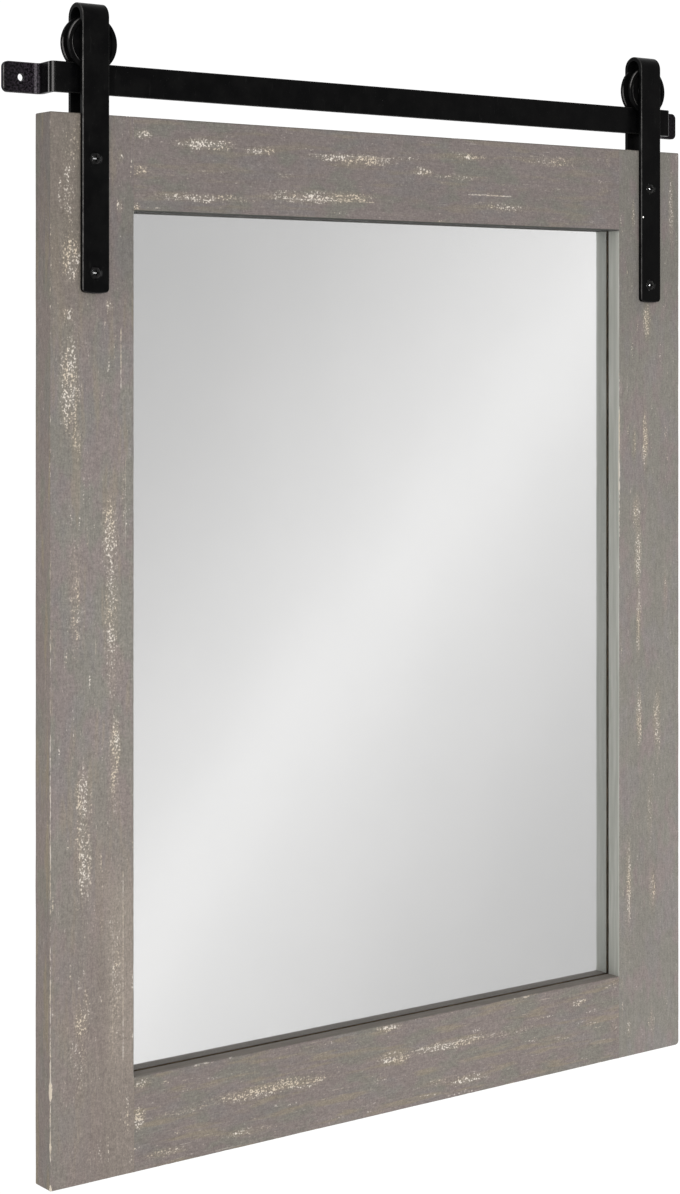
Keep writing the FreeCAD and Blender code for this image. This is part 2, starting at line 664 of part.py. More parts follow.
for side, x in (("left", -STRAP_X), ("right", STRAP_X)):
    wheel(side + "_wheel", x)
    hw = q("hub_w") / 2
    turned(side + "_wheel_bush", x, AX_Y, [
        (q("bush_bore"), -hw), (q("bush_r"), -hw), (q("bush_r"), hw), (q("bush_bore"), hw)])
    ax_half = STRAP_OUT / 2
    turned(side + "_axle", x, AX_Y, [
        (ZERO, -ax_half), (q("axle_r"), -ax_half), (q("axle_r"), ax_half), (ZERO, ax_half)])
    b = new_body(side + "_axle_washers", x, AX_Y, AX_Z)
    for tag, sgn in (("Front", -1), ("Rear", 1)):
        s = sketch(b, "XZ_Plane", side + "Washer" + tag, (hw + q("washer_gap")) * (-sgn))
        circle(s, ZERO, ZERO, q("washer_r") * 2)
        circle(s, ZERO, ZERO, q("washer_bore") * 2)
        pad(b, s, q("washer_t"), side + "Washer%sPad" % tag, flip=sgn > 0)

# ---------------------------------------------------------------- check and write
doc.recompute()
bad = []
for o in doc.Objects:
    if "Invalid" in o.State or "Error" in o.State:
        bad.append("%s %s" % (o.Label, o.State))
for b in NODES:
    s = b.Shape
    if s.isNull() or not s.isValid() or not s.Solids:
        bad.append("shape " + b.Label)
if bad:
    raise RuntimeError("failed: " + ", ".join(bad))
os.makedirs("parts", exist_ok=True)
for b in NODES:
    b.Shape.exportStep("parts/%s.step" % b.Label)
    bb = b.Shape.BoundBox
    print("%-22s solids %2d vol %10.1f  x %.2f..%.2f y %.2f..%.2f z %.2f..%.2f" % (
        b.Label, len(b.Shape.Solids), b.Shape.Volume, bb.XMin, bb.XMax, bb.YMin, bb.YMax, bb.ZMin, bb.ZMax))
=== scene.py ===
import bpy
import math
import numpy as np
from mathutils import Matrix, Quaternion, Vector, noise as mnoise


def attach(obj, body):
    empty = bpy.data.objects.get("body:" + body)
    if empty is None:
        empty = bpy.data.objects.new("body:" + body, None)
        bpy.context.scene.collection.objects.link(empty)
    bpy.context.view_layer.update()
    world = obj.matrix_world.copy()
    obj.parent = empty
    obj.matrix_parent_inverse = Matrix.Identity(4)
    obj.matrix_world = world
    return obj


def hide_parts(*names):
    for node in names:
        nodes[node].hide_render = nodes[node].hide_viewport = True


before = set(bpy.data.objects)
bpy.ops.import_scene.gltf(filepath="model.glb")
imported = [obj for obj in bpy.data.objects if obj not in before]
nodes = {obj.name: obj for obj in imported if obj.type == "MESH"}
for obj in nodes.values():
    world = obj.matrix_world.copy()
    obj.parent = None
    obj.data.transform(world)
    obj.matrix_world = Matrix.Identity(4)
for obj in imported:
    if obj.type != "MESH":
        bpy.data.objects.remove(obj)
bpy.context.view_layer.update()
scene = bpy.context.scene
scene.view_settings.view_transform = "Standard"
scene.view_settings.look = "None"
MM = 0.001


# ------------------------------------------------------------------ node helper
class Tree:
    """Short hand for building a node tree."""

    def __init__(self, name):
        self.mat = bpy.data.materials.new(name)
        self.mat.use_nodes = True
        self.nt = self.mat.node_tree
        self.nt.nodes.clear()
        self.out = self.nt.nodes.new("ShaderNodeOutputMaterial")
        self.bsdf = self.nt.nodes.new("ShaderNodeBsdfPrincipled")
        self.nt.links.new(self.bsdf.outputs[0], self.out.inputs["Surface"])
        self.col = 0

    def node(self, kind, **props):
        n = self.nt.nodes.new(kind)
        for k, v in props.items():
            setattr(n, k, v)
        self.col += 1
        n.location = (-200 * (self.col % 12) - 300, -180 * (self.col // 12))
        return n

    def put(self, socket, value):
        if isinstance(value, bpy.types.NodeSocket):
            self.nt.links.new(value, socket)
        elif value is not None:
            socket.default_value = value

    def math(self, op, a, b=None, c=None, clamp=False):
        n = self.node("ShaderNodeMath", operation=op, use_clamp=clamp)
        self.put(n.inputs[0], a)
        if b is not None:
            self.put(n.inputs[1], b)
        if c is not None:
            self.put(n.inputs[2], c)
        return n.outputs[0]

    def vmath(self, op, a, b=None):
        n = self.node("ShaderNodeVectorMath", operation=op)
        self.put(n.inputs[0], a)
        if b is not None:
            self.put(n.inputs[1], b)
        return n.outputs[1] if op in ("LENGTH", "DISTANCE", "DOT_PRODUCT") else n.outputs[0]

    def obj(self):
        return self.node("ShaderNodeTexCoord").outputs["Object"]

    def split(self, v):
        n = self.node("ShaderNodeSeparateXYZ")
        self.put(n.inputs[0], v)
        return n.outputs[0], n.outputs[1], n.outputs[2]

    def join(self, x, y, z):
        n = self.node("ShaderNodeCombineXYZ")
        self.put(n.inputs[0], x)
        self.put(n.inputs[1], y)
        self.put(n.inputs[2], z)
        return n.outputs[0]

    def noise(self, vec, scale=1.0, detail=2.0, rough=0.5, distort=0.0):
        n = self.node("ShaderNodeTexNoise", noise_dimensions="3D")
        self.put(n.inputs["Vector"], vec)
        n.inputs["Scale"].default_value = scale
        n.inputs["Detail"].default_value = detail
        n.inputs["Roughness"].default_value = rough
        n.inputs["Distortion"].default_value = distort
        return n.outputs[0]

    def voronoi(self, vec, scale=1.0, feature="F1", out=0, rand=1.0):
        n = self.node("ShaderNodeTexVoronoi", feature=feature)
        self.put(n.inputs["Vector"], vec)
        n.inputs["Scale"].default_value = scale
        n.inputs["Randomness"].default_value = rand
        return n.outputs[out]

    def step(self, v, lo, hi, a=0.0, b=1.0):
        n = self.node("ShaderNodeMapRange", interpolation_type="SMOOTHSTEP")
        self.put(n.inputs["Value"], v)
        n.inputs["From Min"].default_value = lo
        n.inputs["From Max"].default_value = hi
        n.inputs["To Min"].default_value = a
        n.inputs["To Max"].default_value = b
        return n.outputs[0]

    def lin(self, v, lo, hi, a=0.0, b=1.0):
        n = self.node("ShaderNodeMapRange", interpolation_type="LINEAR")
        self.put(n.inputs["Value"], v)
        n.inputs["From Min"].default_value = lo
        n.inputs["From Max"].default_value = hi
        n.inputs["To Min"].default_value = a
        n.inputs["To Max"].default_value = b
        return n.outputs[0]

    def mix(self, f, a, b, blend="MIX"):
        n = self.node("ShaderNodeMix", data_type="RGBA", blend_type=blend)
        self.put(n.inputs[0], f)
        self.put(n.inputs[6], a if isinstance(a, bpy.types.NodeSocket) else rgba(a))
        self.put(n.inputs[7], b if isinstance(b, bpy.types.NodeSocket) else rgba(b))
        return n.outputs[2]

    def scale(self, colour, f):
        """Colour times a factor socket."""
        n = self.node("ShaderNodeVectorMath", operation="SCALE")
        self.put(n.inputs[0], colour)
        self.put(n.inputs[3], f)
        return n.outputs[0]

    def attr(self, name):
        return self.node("ShaderNodeAttribute", attribute_name=name).outputs["Fac"]

    def bump(self, height, dist, strength=1.0, normal=None):
        n = self.node("ShaderNodeBump")
        self.put(n.inputs["Height"], height)
        n.inputs["Distance"].default_value = dist
        n.inputs["Strength"].default_value = strength
        if normal is not None:
            self.put(n.inputs["Normal"], normal)
        return n.outputs[0]

    def set(self, **vals):
        names = {"base": "Base Color", "rough": "Roughness", "metal": "Metallic", "normal": "Normal",
                 "spec": "Specular IOR Level", "coat": "Coat Weight", "coat_rough": "Coat Roughness",
                 "trans": "Transmission Weight", "ior": "IOR", "alpha": "Alpha", "aniso": "Anisotropic"}
        for k, v in vals.items():
            if k == "base" and not isinstance(v, bpy.types.NodeSocket):
                v = rgba(v)
            self.put(self.bsdf.inputs[names[k]], v)
        return self.mat


def srgb(r, g, b):
    def f(c):
        c /= 255.0
        return c / 12.92 if c <= 0.04045 else ((c + 0.055) / 1.055) ** 2.4
    return (f(r), f(g), f(b))


def rgba(c):
    c = tuple(c)
    return c if len(c) == 4 else c + (1.0,)


def dim(c, k):
    return tuple(x * k for x in c)


# ------------------------------------------------------------------ painted wood
PAINT_GAIN = 0.95   # paint albedo against the seen level under this light


def paint(name, along, tone=1.0, warm=0.0, seed=0.0, patches=1.0, cast=0.45, painted_shade_grade=(), across=None, tint=None, brown=()):
    """Rubbed-back warm grey paint over a sawn face. along: 'Z' or 'X', the grain.
    cast: share of the green-grey areas; grade, a painted shade: (from, to, value, value) along the grain,
    multiplied together, mostly darker towards the top; across: (from, to, value, value) over the width, a tone tilt;
    brown: (along, along, across, across, amount, colour), browner ends."""
    t = Tree(name)
    p = t.vmath("MULTIPLY", t.obj(), (1000.0, 1000.0, 1000.0))
    x, y, z = t.split(p)
    u, w = (x, z) if along == "Z" else (z, x)
    q = t.join(t.math("ADD", u, seed * 311.0), t.math("ADD", y, seed * 97.0), t.math("ADD", w, seed * 533.0))

    def f(su, sv, sw, off=0.0):
        v = t.vmath("MULTIPLY", q, (1.0 / su, 1.0 / sv, 1.0 / sw))
        return t.vmath("ADD", v, (off, off * 0.37, off * 1.7)) if off else v

    g = PAINT_GAIN * tone
    purple = dim(srgb(142, 133, 130), g)
    green = dim(srgb(137, 134, 127), g)
    tan = dim(srgb(150, 141, 127), g)
    cool = dim(srgb(137, 133, 132), g)
    base = t.mix(t.step(t.noise(f(15, 15, 36), detail=3.0, rough=0.55), 0.51 - 0.18 * cast, 0.67 - 0.18 * cast), purple, green)
    base = t.mix(t.math("MULTIPLY", t.step(t.noise(f(14, 14, 34, 9.7), detail=2.0), 0.52, 0.66), 0.5), base, cool)
    base = t.mix(t.math("MULTIPLY", t.step(t.noise(f(6, 6, 52, 5.1), detail=3.0, rough=0.55), 0.52, 0.66), 0.50 + warm), base, tan)

    # where the rubbing cut through: zones laid out on the mesh, ragged at their borders,
    # and a few small ones of their own
    rag = t.noise(f(1.9, 1.9, 10.5, 12.4), detail=3.0, rough=0.65, distort=0.2)
    zone = t.attr("rub")
    laid = t.step(t.math("ADD", zone, t.math("MULTIPLY", t.math("SUBTRACT", rag, 0.5), 1.70)), 0.20, 0.98)
    laid = t.math("MULTIPLY", laid, t.lin(zone, 0.0, 0.9, 0.25, 1.0))
    small = t.step(t.noise(f(3.2, 3.2, 26, 31.0), detail=2.0, rough=0.5, distort=0.3), 0.630, 0.76)
    rub = t.math("MAXIMUM", laid, t.math("MULTIPLY", small, 0.62 * patches))
    base = t.mix(t.math("MULTIPLY", t.step(zone, 0.05, 0.75), 0.42), base, tan)
    for w0, w1, u0, u1, k, colour in brown:
        base = t.mix(t.math("MULTIPLY", t.lin(w, w0, w1, 0.0, k), t.lin(u, u0, u1)), base, dim(srgb(*colour), g))
    if tint:
        base = t.vmath("MULTIPLY", base, tint)

    # grit: the sawn face's pits, short threads both ways, and fine tooth
    pit = t.noise(f(1.15, 1.15, 1.40, 21.0), detail=1.5, rough=0.55)
    thread_a = t.noise(f(0.90, 1.05, 3.8, 1.3), detail=1.5, rough=0.55)
    thread_b = t.noise(f(2.6, 1.05, 0.95, 7.7), detail=1.5, rough=0.55)
    fine = t.noise(f(0.60, 0.60, 0.85, 4.2), detail=2.0, rough=0.6)
    brush = t.noise(f(1.25, 1.6, 38, 3.9), detail=3.0, rough=0.65)
    blot = t.noise(f(3.2, 3.2, 5.0, 63.0), detail=2.0, rough=0.5)
    drift = t.lin(t.noise(f(34, 34, 120, 2.3), detail=2.0), 0.3, 0.7, 0.965, 1.035)
    weave = t.math("ADD", t.math("MULTIPLY", thread_a, 0.60), t.math("MULTIPLY", thread_b, 0.40))
    shade = t.math("MULTIPLY", drift, t.lin(brush, 0.25, 0.75, 0.935, 1.065))
    # painted shade along each member: mostly darker towards the top, and on the bottom rail darker to the left
    for g4 in painted_shade_grade:
        shade = t.math("MULTIPLY", shade, t.lin(w, *g4))
    if across:
        shade = t.math("MULTIPLY", shade, t.lin(u, *across))
    shade = t.math("MULTIPLY", shade, t.lin(weave, 0.34, 0.66, 0.875, 1.125))
    shade = t.math("MULTIPLY", shade, t.lin(blot, 0.30, 0.70, 0.95, 1.05))
    shade = t.math("MULTIPLY", shade, t.lin(fine, 0.25, 0.75, 0.83, 1.17))
    # pits read dark, much more so where the face is rubbed
    worked = t.math("MAXIMUM", rub, t.step(zone, 0.10, 0.60, 0.0, 0.45))
    pit_amp = t.math("ADD", 0.52, t.math("MULTIPLY", worked, 1.45))
    shade = t.math("MULTIPLY", shade, t.math("ADD", 1.0, t.math("MULTIPLY", t.math("SUBTRACT", pit, 0.5), pit_amp)))
    base = t.scale(base, shade)
    # painted shade beside the left opening's front arris, and darker lines along some outer and top arrises
    base = t.mix(t.math("MULTIPLY", t.attr("grime_and_shade"), 0.60), base, srgb(74, 70, 66))

    cream = t.mix(t.step(t.noise(f(9, 9, 34, 17.0), detail=2.0), 0.44, 0.58), dim(srgb(225, 218, 208), 1.03), dim(srgb(214, 201, 181), 1.0))
    grit = t.math("ADD", pit, t.math("MULTIPLY", t.math("SUBTRACT", weave, 0.5), 0.55))
    specks = t.math("MULTIPLY", t.math("MULTIPLY", rub, 2.1, clamp=True), t.step(t.math("ADD", grit, t.math("MULTIPLY", rub, 0.108)), 0.640, 0.692))
    haze = t.math("MULTIPLY", rub, 0.12)
    stray = t.math("MULTIPLY", t.step(grit, 0.755, 0.82), 0.40 * patches)
    # thin broken lines along the grain: laid out on the mesh, and a few more
    line = t.step(t.noise(f(0.85, 0.95, 24, 41.0), detail=2.0, rough=0.5), 0.665, 0.71)
    line_zone = t.step(t.noise(f(16, 16, 60, 47.0), detail=1.0), 0.50, 0.60)
    broken = t.step(t.noise(f(1.2, 1.2, 2.6, 51.0), detail=2.0, rough=0.6), 0.43, 0.57)
    lines = t.math("MULTIPLY", t.math("MULTIPLY", line, line_zone), t.math("MULTIPLY", broken, 0.6 * patches))
    drawn = t.math("MULTIPLY", t.step(t.attr("line"), 0.35, 0.75), t.math("ADD", t.math("MULTIPLY", broken, 0.50), t.lin(pit, 0.38, 0.62, 0.02, 0.40)))
    mask = t.math("MAXIMUM", t.math("MAXIMUM", specks, haze), t.math("MAXIMUM", lines, drawn))
    mask = t.math("MAXIMUM", mask, stray)
    mask = t.math("MULTIPLY", mask, 0.92)

    # worn arris: stored on the mesh, broken up by the same grit
    wear = t.attr("wear")
    chip = t.attr("chip")
    ragged = t.step(t.math("ADD", wear, t.math("MULTIPLY", t.math("SUBTRACT", t.noise(f(0.9, 0.9, 3.0, 71.0), detail=3.0, rough=0.65), 0.5), 1.7)), 0.54, 0.74)
    mask = t.math("MAXIMUM", mask, t.math("MULTIPLY", ragged, 0.72), clamp=True)
    base = t.mix(mask, base, cream)
    # chips go down to pale timber
    timber = t.mix(t.noise(f(0.6, 0.6, 6, 81.0), detail=3.0), srgb(226, 216, 200), srgb(200, 187, 168))
    nick = t.noise(f(0.9, 0.9, 2.4, 91.0), detail=3.0, rough=0.65)
    raw = t.step(t.math("ADD", chip, t.math("MULTIPLY", t.math("SUBTRACT", nick, 0.5), 1.5)), 0.46, 0.62)
    base = t.mix(raw, base, timber)

    rough = t.math("ADD", t.lin(weave, 0.3, 0.7, 0.72, 0.58), t.math("MULTIPLY", mask, 0.10))
    h = t.math("ADD", t.math("MULTIPLY", weave, 0.7), t.math("MULTIPLY", brush, 0.35))
    h = t.math("ADD", h, t.math("MULTIPLY", pit, 0.8))
    h = t.math("SUBTRACT", h, t.math("MULTIPLY", mask, 0.3))
    h = t.math("SUBTRACT", h, t.math("MULTIPLY", raw, 0.8))
    t.set(base=base, rough=rough, normal=t.bump(h, 0.00014, 0.60), spec=0.25)
    return t.mat


def reveal_paint(name, along, seed=0.0, tone=1.0, tint=(1.0, 1.0, 1.0)):
    """The thinner, cooler coat on the opening's inner faces: smoother, with soft streaks."""
    t = Tree(name)
    p = t.vmath("MULTIPLY", t.obj(), (1000.0, 1000.0, 1000.0))
    x, y, z = t.split(p)
    u, w = (x, z) if along == "Z" else (z, x)
    q = t.join(t.math("ADD", u, seed * 211.0), t.math("ADD", y, seed * 61.0), t.math("ADD", w, seed * 433.0))

    def f(su, sv, sw, off=0.0):
        return t.vmath("ADD", t.vmath("MULTIPLY", q, (1.0 / su, 1.0 / sv, 1.0 / sw)), (off, off * 0.4, off * 1.3))

    base = t.mix(t.step(t.noise(f(9, 3.2, 60), detail=3.0), 0.38, 0.64), dim(srgb(166, 168, 161), tone), dim(srgb(178, 179, 173), tone))
    streak = t.noise(f(2, 1.0, 70, 3.0), detail=3.0, rough=0.6)
    base = t.vmath("MULTIPLY", t.scale(base, t.lin(streak, 0.25, 0.75, 0.93, 1.07)), tint)
    wear = t.attr("wear")
    rag = t.step(t.math("ADD", wear, t.math("MULTIPLY", t.math("SUBTRACT", t.noise(f(1.2, 1.2, 4.0, 9.0), detail=3.0), 0.5), 1.1)), 0.55, 0.75)
    base = t.mix(t.math("MULTIPLY", rag, 0.85), base, srgb(226, 219, 205))
    # painted shade, with some dirt, where the lip meets the glass and beside the left opening's front arris
    grime_and_shade = t.attr("grime_and_shade")
    base = t.mix(t.math("MULTIPLY", grime_and_shade, 0.85), base, srgb(66, 60, 50))
    t.set(base=base, rough=t.lin(streak, 0.3, 0.7, 0.52, 0.62), spec=0.3,
          normal=t.bump(t.math("ADD", streak, t.math("MULTIPLY", t.noise(f(1, 0.8, 3, 6.0), detail=2.0), 0.4)), 0.00010, 0.5))
    return t.mat


def raw_timber(name, along, seed=0.0):
    """Unpainted pine on the back, with paint run over from the edges."""
    t = Tree(name)
    p = t.vmath("MULTIPLY", t.obj(), (1000.0, 1000.0, 1000.0))
    x, y, z = t.split(p)
    u, w = (x, z) if along == "Z" else (z, x)
    q = t.join(t.math("ADD", u, seed * 171.0), t.math("ADD", y, seed * 31.0), t.math("ADD", w, seed * 333.0))

    def f(su, sv, sw, off=0.0):
        return t.vmath("ADD", t.vmath("MULTIPLY", q, (1.0 / su, 1.0 / sv, 1.0 / sw)), (off, off * 0.4, off * 1.3))

    warp = t.noise(f(40, 40, 220, 2.0), detail=2.0)
    rings = t.node("ShaderNodeTexWave", wave_type="BANDS", bands_direction="X", wave_profile="SAW")
    t.put(rings.inputs["Vector"], t.vmath("ADD", f(26, 26, 600), t.join(t.math("MULTIPLY", warp, 2.2), 0.0, 0.0)))
    rings.inputs["Scale"].default_value = 1.6
    rings.inputs["Distortion"].default_value = 1.4
    rings.inputs["Detail"].default_value = 2.0
    base = t.mix(t.step(rings.outputs["Fac"], 0.25, 1.0), srgb(211, 188, 150), srgb(182, 149, 106))
    fibre = t.noise(f(0.7, 0.7, 40, 5.0), detail=4.0, rough=0.65)
    base = t.scale(base, t.lin(fibre, 0.25, 0.75, 0.86, 1.12))
    # sap streaks, handling marks and a little dust
    base = t.mix(t.math("MULTIPLY", t.step(t.noise(f(4.5, 4.5, 150, 15.0), detail=3.0, rough=0.6), 0.55, 0.70), 0.45), base, srgb(160, 122, 82))
    base = t.mix(t.math("MULTIPLY", t.step(t.noise(f(24, 24, 40, 18.0), detail=4.0, rough=0.65), 0.52, 0.72), 0.30), base, srgb(168, 152, 130))
    over = t.attr("over")
    edge = t.step(t.math("ADD", over, t.math("MULTIPLY", t.math("SUBTRACT", t.noise(f(5, 5, 9, 8.0), detail=4.0, rough=0.6), 0.5), 1.3)), 0.45, 0.70)
    base = t.mix(t.math("MULTIPLY", edge, 0.93), base, srgb(141, 133, 127))
    h = t.math("ADD", fibre, t.math("MULTIPLY", rings.outputs["Fac"], 0.4))
    t.set(base=base, rough=t.lin(fibre, 0.3, 0.7, 0.82, 0.68), spec=0.25, normal=t.bump(h, 0.00018, 0.7))
    return t.mat


def rebate_stain(name, dark=srgb(38, 33, 27), light=srgb(56, 48, 39)):
    """Stain in the rebate, so that no bare timber shows in the glass's edge."""
    t = Tree(name)
    p = t.vmath("MULTIPLY", t.obj(), (1000.0, 1000.0, 1000.0))
    n = t.noise(p, scale=1.0 / 2.0, detail=4.0, rough=0.65)
    m = t.noise(p, scale=1.0 / 14.0, detail=3.0)
    base = t.mix(t.step(m, 0.35, 0.65), dark, light)
    t.set(base=t.scale(base, t.lin(n, 0.25, 0.75, 0.8, 1.2)), rough=t.lin(n, 0.3, 0.7, 0.75, 0.88), spec=0.15, normal=t.bump(n, 0.00010, 0.6))
    return t.mat


# ------------------------------------------------------------------ metal, glass, board, rubber
def black_coat(name, worn=None, tone=1.0, spot=None, rough=0.31, tabs=False):
    """Soft-gloss black powder coat, with painted highlight lines and a little wear on its arrises.
    worn: a function (tree, x, y, z in mm) giving the arris mask for that painted highlight and wear."""
    t = Tree(name)
    p = t.vmath("MULTIPLY", t.obj(), (1000.0, 1000.0, 1000.0))
    x, y, z = t.split(p)
    peel = t.noise(p, scale=1.0 / 0.85, detail=2.0, rough=0.5)
    cloud = t.noise(p, scale=1.0 / 13.0, detail=3.0, rough=0.6)
    scuff = t.noise(t.vmath("MULTIPLY", p, (1 / 2.2, 1 / 2.2, 1 / 18.0)), detail=4.0, rough=0.7)
    dust = t.step(t.voronoi(p, scale=1.0 / 2.6), 0.05, 0.10, 1.0, 0.0)
    base = t.mix(t.step(cloud, 0.35, 0.7), dim((0.0008, 0.0008, 0.0009), tone), dim((0.0016, 0.0016, 0.0016), tone))
    base = t.mix(t.math("MULTIPLY", t.step(scuff, 0.60, 0.74), 0.5), base, dim((0.0060, 0.0059, 0.0057), tone))
    base = t.mix(t.math("MULTIPLY", dust, 0.22), base, (0.030, 0.030, 0.029))
    if tabs:     # the tabs: a mottled cool painted sheen, palest towards the bend, and painted highlight lines on the bends
        ax = t.math("ABSOLUTE", x)
        near = t.math("MULTIPLY", t.step(y, -5.5, -3.3), t.step(ax, 272.0, 273.4))
        mott = t.noise(p, scale=1.0 / 1.5, detail=3.0, rough=0.66)
        amount = t.math("MULTIPLY", t.math("MULTIPLY", near, t.lin(mott, 0.42, 0.72, 0.0, 0.9)), t.lin(ax, 299.0, 277.0, 0.40, 1.0))
        base = t.mix(amount, base, (0.030, 0.0235, 0.031))
        band = t.math("MULTIPLY", near, t.step(t.math("ABSOLUTE", t.math("SUBTRACT", ax, 276.3)), 0.4, 1.6, 1.0, 0.0))
        base = t.mix(t.math("MULTIPLY", band, t.lin(mott, 0.35, 0.62, 0.30, 0.90)), base, (0.074, 0.067, 0.075))
        bend = t.math("MULTIPLY", t.step(t.math("ABSOLUTE", t.math("ADD", y, 18.2)), 0.45, 1.1, 1.0, 0.0), t.step(ax, 274.2, 275.2))
        second = t.math("MULTIPLY", t.step(t.math("ABSOLUTE", t.math("SUBTRACT", ax, 274.3)), 0.10, 0.95, 1.0, 0.0), t.step(y, -21.2, -20.4, 1.0, 0.0))
        bend_highlight = t.math("MULTIPLY", t.math("MAXIMUM", bend, t.math("MULTIPLY", second, 0.42)), t.lin(scuff, 0.35, 0.65, 0.7, 1.0))
        base = t.mix(bend_highlight, base, (0.125, 0.122, 0.120))
    r = t.math("ADD", t.lin(cloud, 0.3, 0.7, rough - 0.05, rough + 0.07), t.math("MULTIPLY", t.step(scuff, 0.55, 0.75), 0.08))
    # painted highlight lines, with a little wear, on the arrises: lighter and a little smoother
    if worn:
        patchy = t.noise(t.vmath("MULTIPLY", p, (1 / 2.0, 1 / 2.0, 1 / 5.0)), detail=3.0, rough=0.6)
        wear = t.math("MULTIPLY", worn(t, x, y, z), t.lin(patchy, 0.32, 0.64, 0.30, 1.0))
        base = t.mix(t.math("MULTIPLY", wear, 0.9), base, (0.062, 0.060, 0.058))
        r = t.math("SUBTRACT", r, t.math("MULTIPLY", wear, 0.10))
    if spot:
        ds = t.vmath("DISTANCE", p, spot)
        ds = t.math("ADD", ds, t.math("MULTIPLY", t.noise(p, scale=1.3, detail=2.0), 0.7))
        base = t.mix(t.step(ds, 0.85, 1.15, 1.0, 0.0), base, srgb(228, 226, 222))
    h = t.math("ADD", t.math("MULTIPLY", peel, 0.7), t.math("MULTIPLY", cloud, 0.3))
    h = t.math("ADD", h, t.math("MULTIPLY", dust, 0.25))
    t.set(base=base, rough=r, spec=0.045, normal=t.bump(h, 0.00004, 0.35))
    return t.mat


def strap_arris_highlight(centre, k=1.0):
    """Mask for a painted highlight, with a little wear, on the strap's outer arrises: strongest on the long left edge
    of the front leg, a trace on the rest.
    """
    def worn(t, x, y, z):
        dx = t.math("SUBTRACT", x, centre)
        left = t.step(t.math("ABSOLUTE", t.math("ADD", dx, 10.0)), 0.25, 0.85, k, 0.0)
        right = t.step(t.math("ABSOLUTE", t.math("SUBTRACT", dx, 10.0)), 0.25, 0.85, 0.14 * k, 0.0)
        dy = t.math("ADD", y, 20.8)
        dz = t.math("MAXIMUM", t.math("SUBTRACT", z, 39.6), 0.0)
        depth = t.math("SUBTRACT", 9.2, t.math("SQRT", t.math("ADD", t.math("MULTIPLY", dy, dy), t.math("MULTIPLY", dz, dz))))
        end = t.math("ADD", t.math("MULTIPLY", t.math("MULTIPLY", dx, dx), 0.011), -139.3)
        tip = t.step(t.math("SUBTRACT", z, end), 0.25, 0.9, 0.30, 0.0)
        low = t.step(z, 8.0, 34.0, 1.0, 0.50)
        long = t.math("MULTIPLY", t.math("MAXIMUM", left, right), low)
        return t.math("MULTIPLY", t.math("MAXIMUM", long, tip), t.step(depth, 0.25, 0.85, 1.0, 0.0))
    return worn


def bar_arris_highlight(t, x, y, z):
    """Mask for painted highlight lines, with a little wear, on the bar's front arrises and its tips."""
    edge = t.step(t.math("ABSOLUTE", t.math("SUBTRACT", t.math("ABSOLUTE", z), 10.0)), 0.25, 0.8, 1.0, 0.0)
    ax = t.math("ABSOLUTE", x)
    tip = t.step(t.math("ABSOLUTE", t.math("SUBTRACT", ax, 300.0)), 0.25, 0.8, 1.0, 0.0)
    front = t.step(t.math("ABSOLUTE", t.math("ADD", y, 22.3)), 0.25, 0.8, 0.30, 0.0)
    tab = t.math("MULTIPLY", t.step(t.math("ABSOLUTE", t.math("ADD", y, 3.0)), 0.25, 0.8, 1.0, 0.0), t.step(ax, 273.0, 275.0))
    return t.math("MULTIPLY", t.math("MAXIMUM", t.math("MULTIPLY", edge, 0.45), t.math("MULTIPLY", tip, tab)), t.math("MAXIMUM", front, tab))


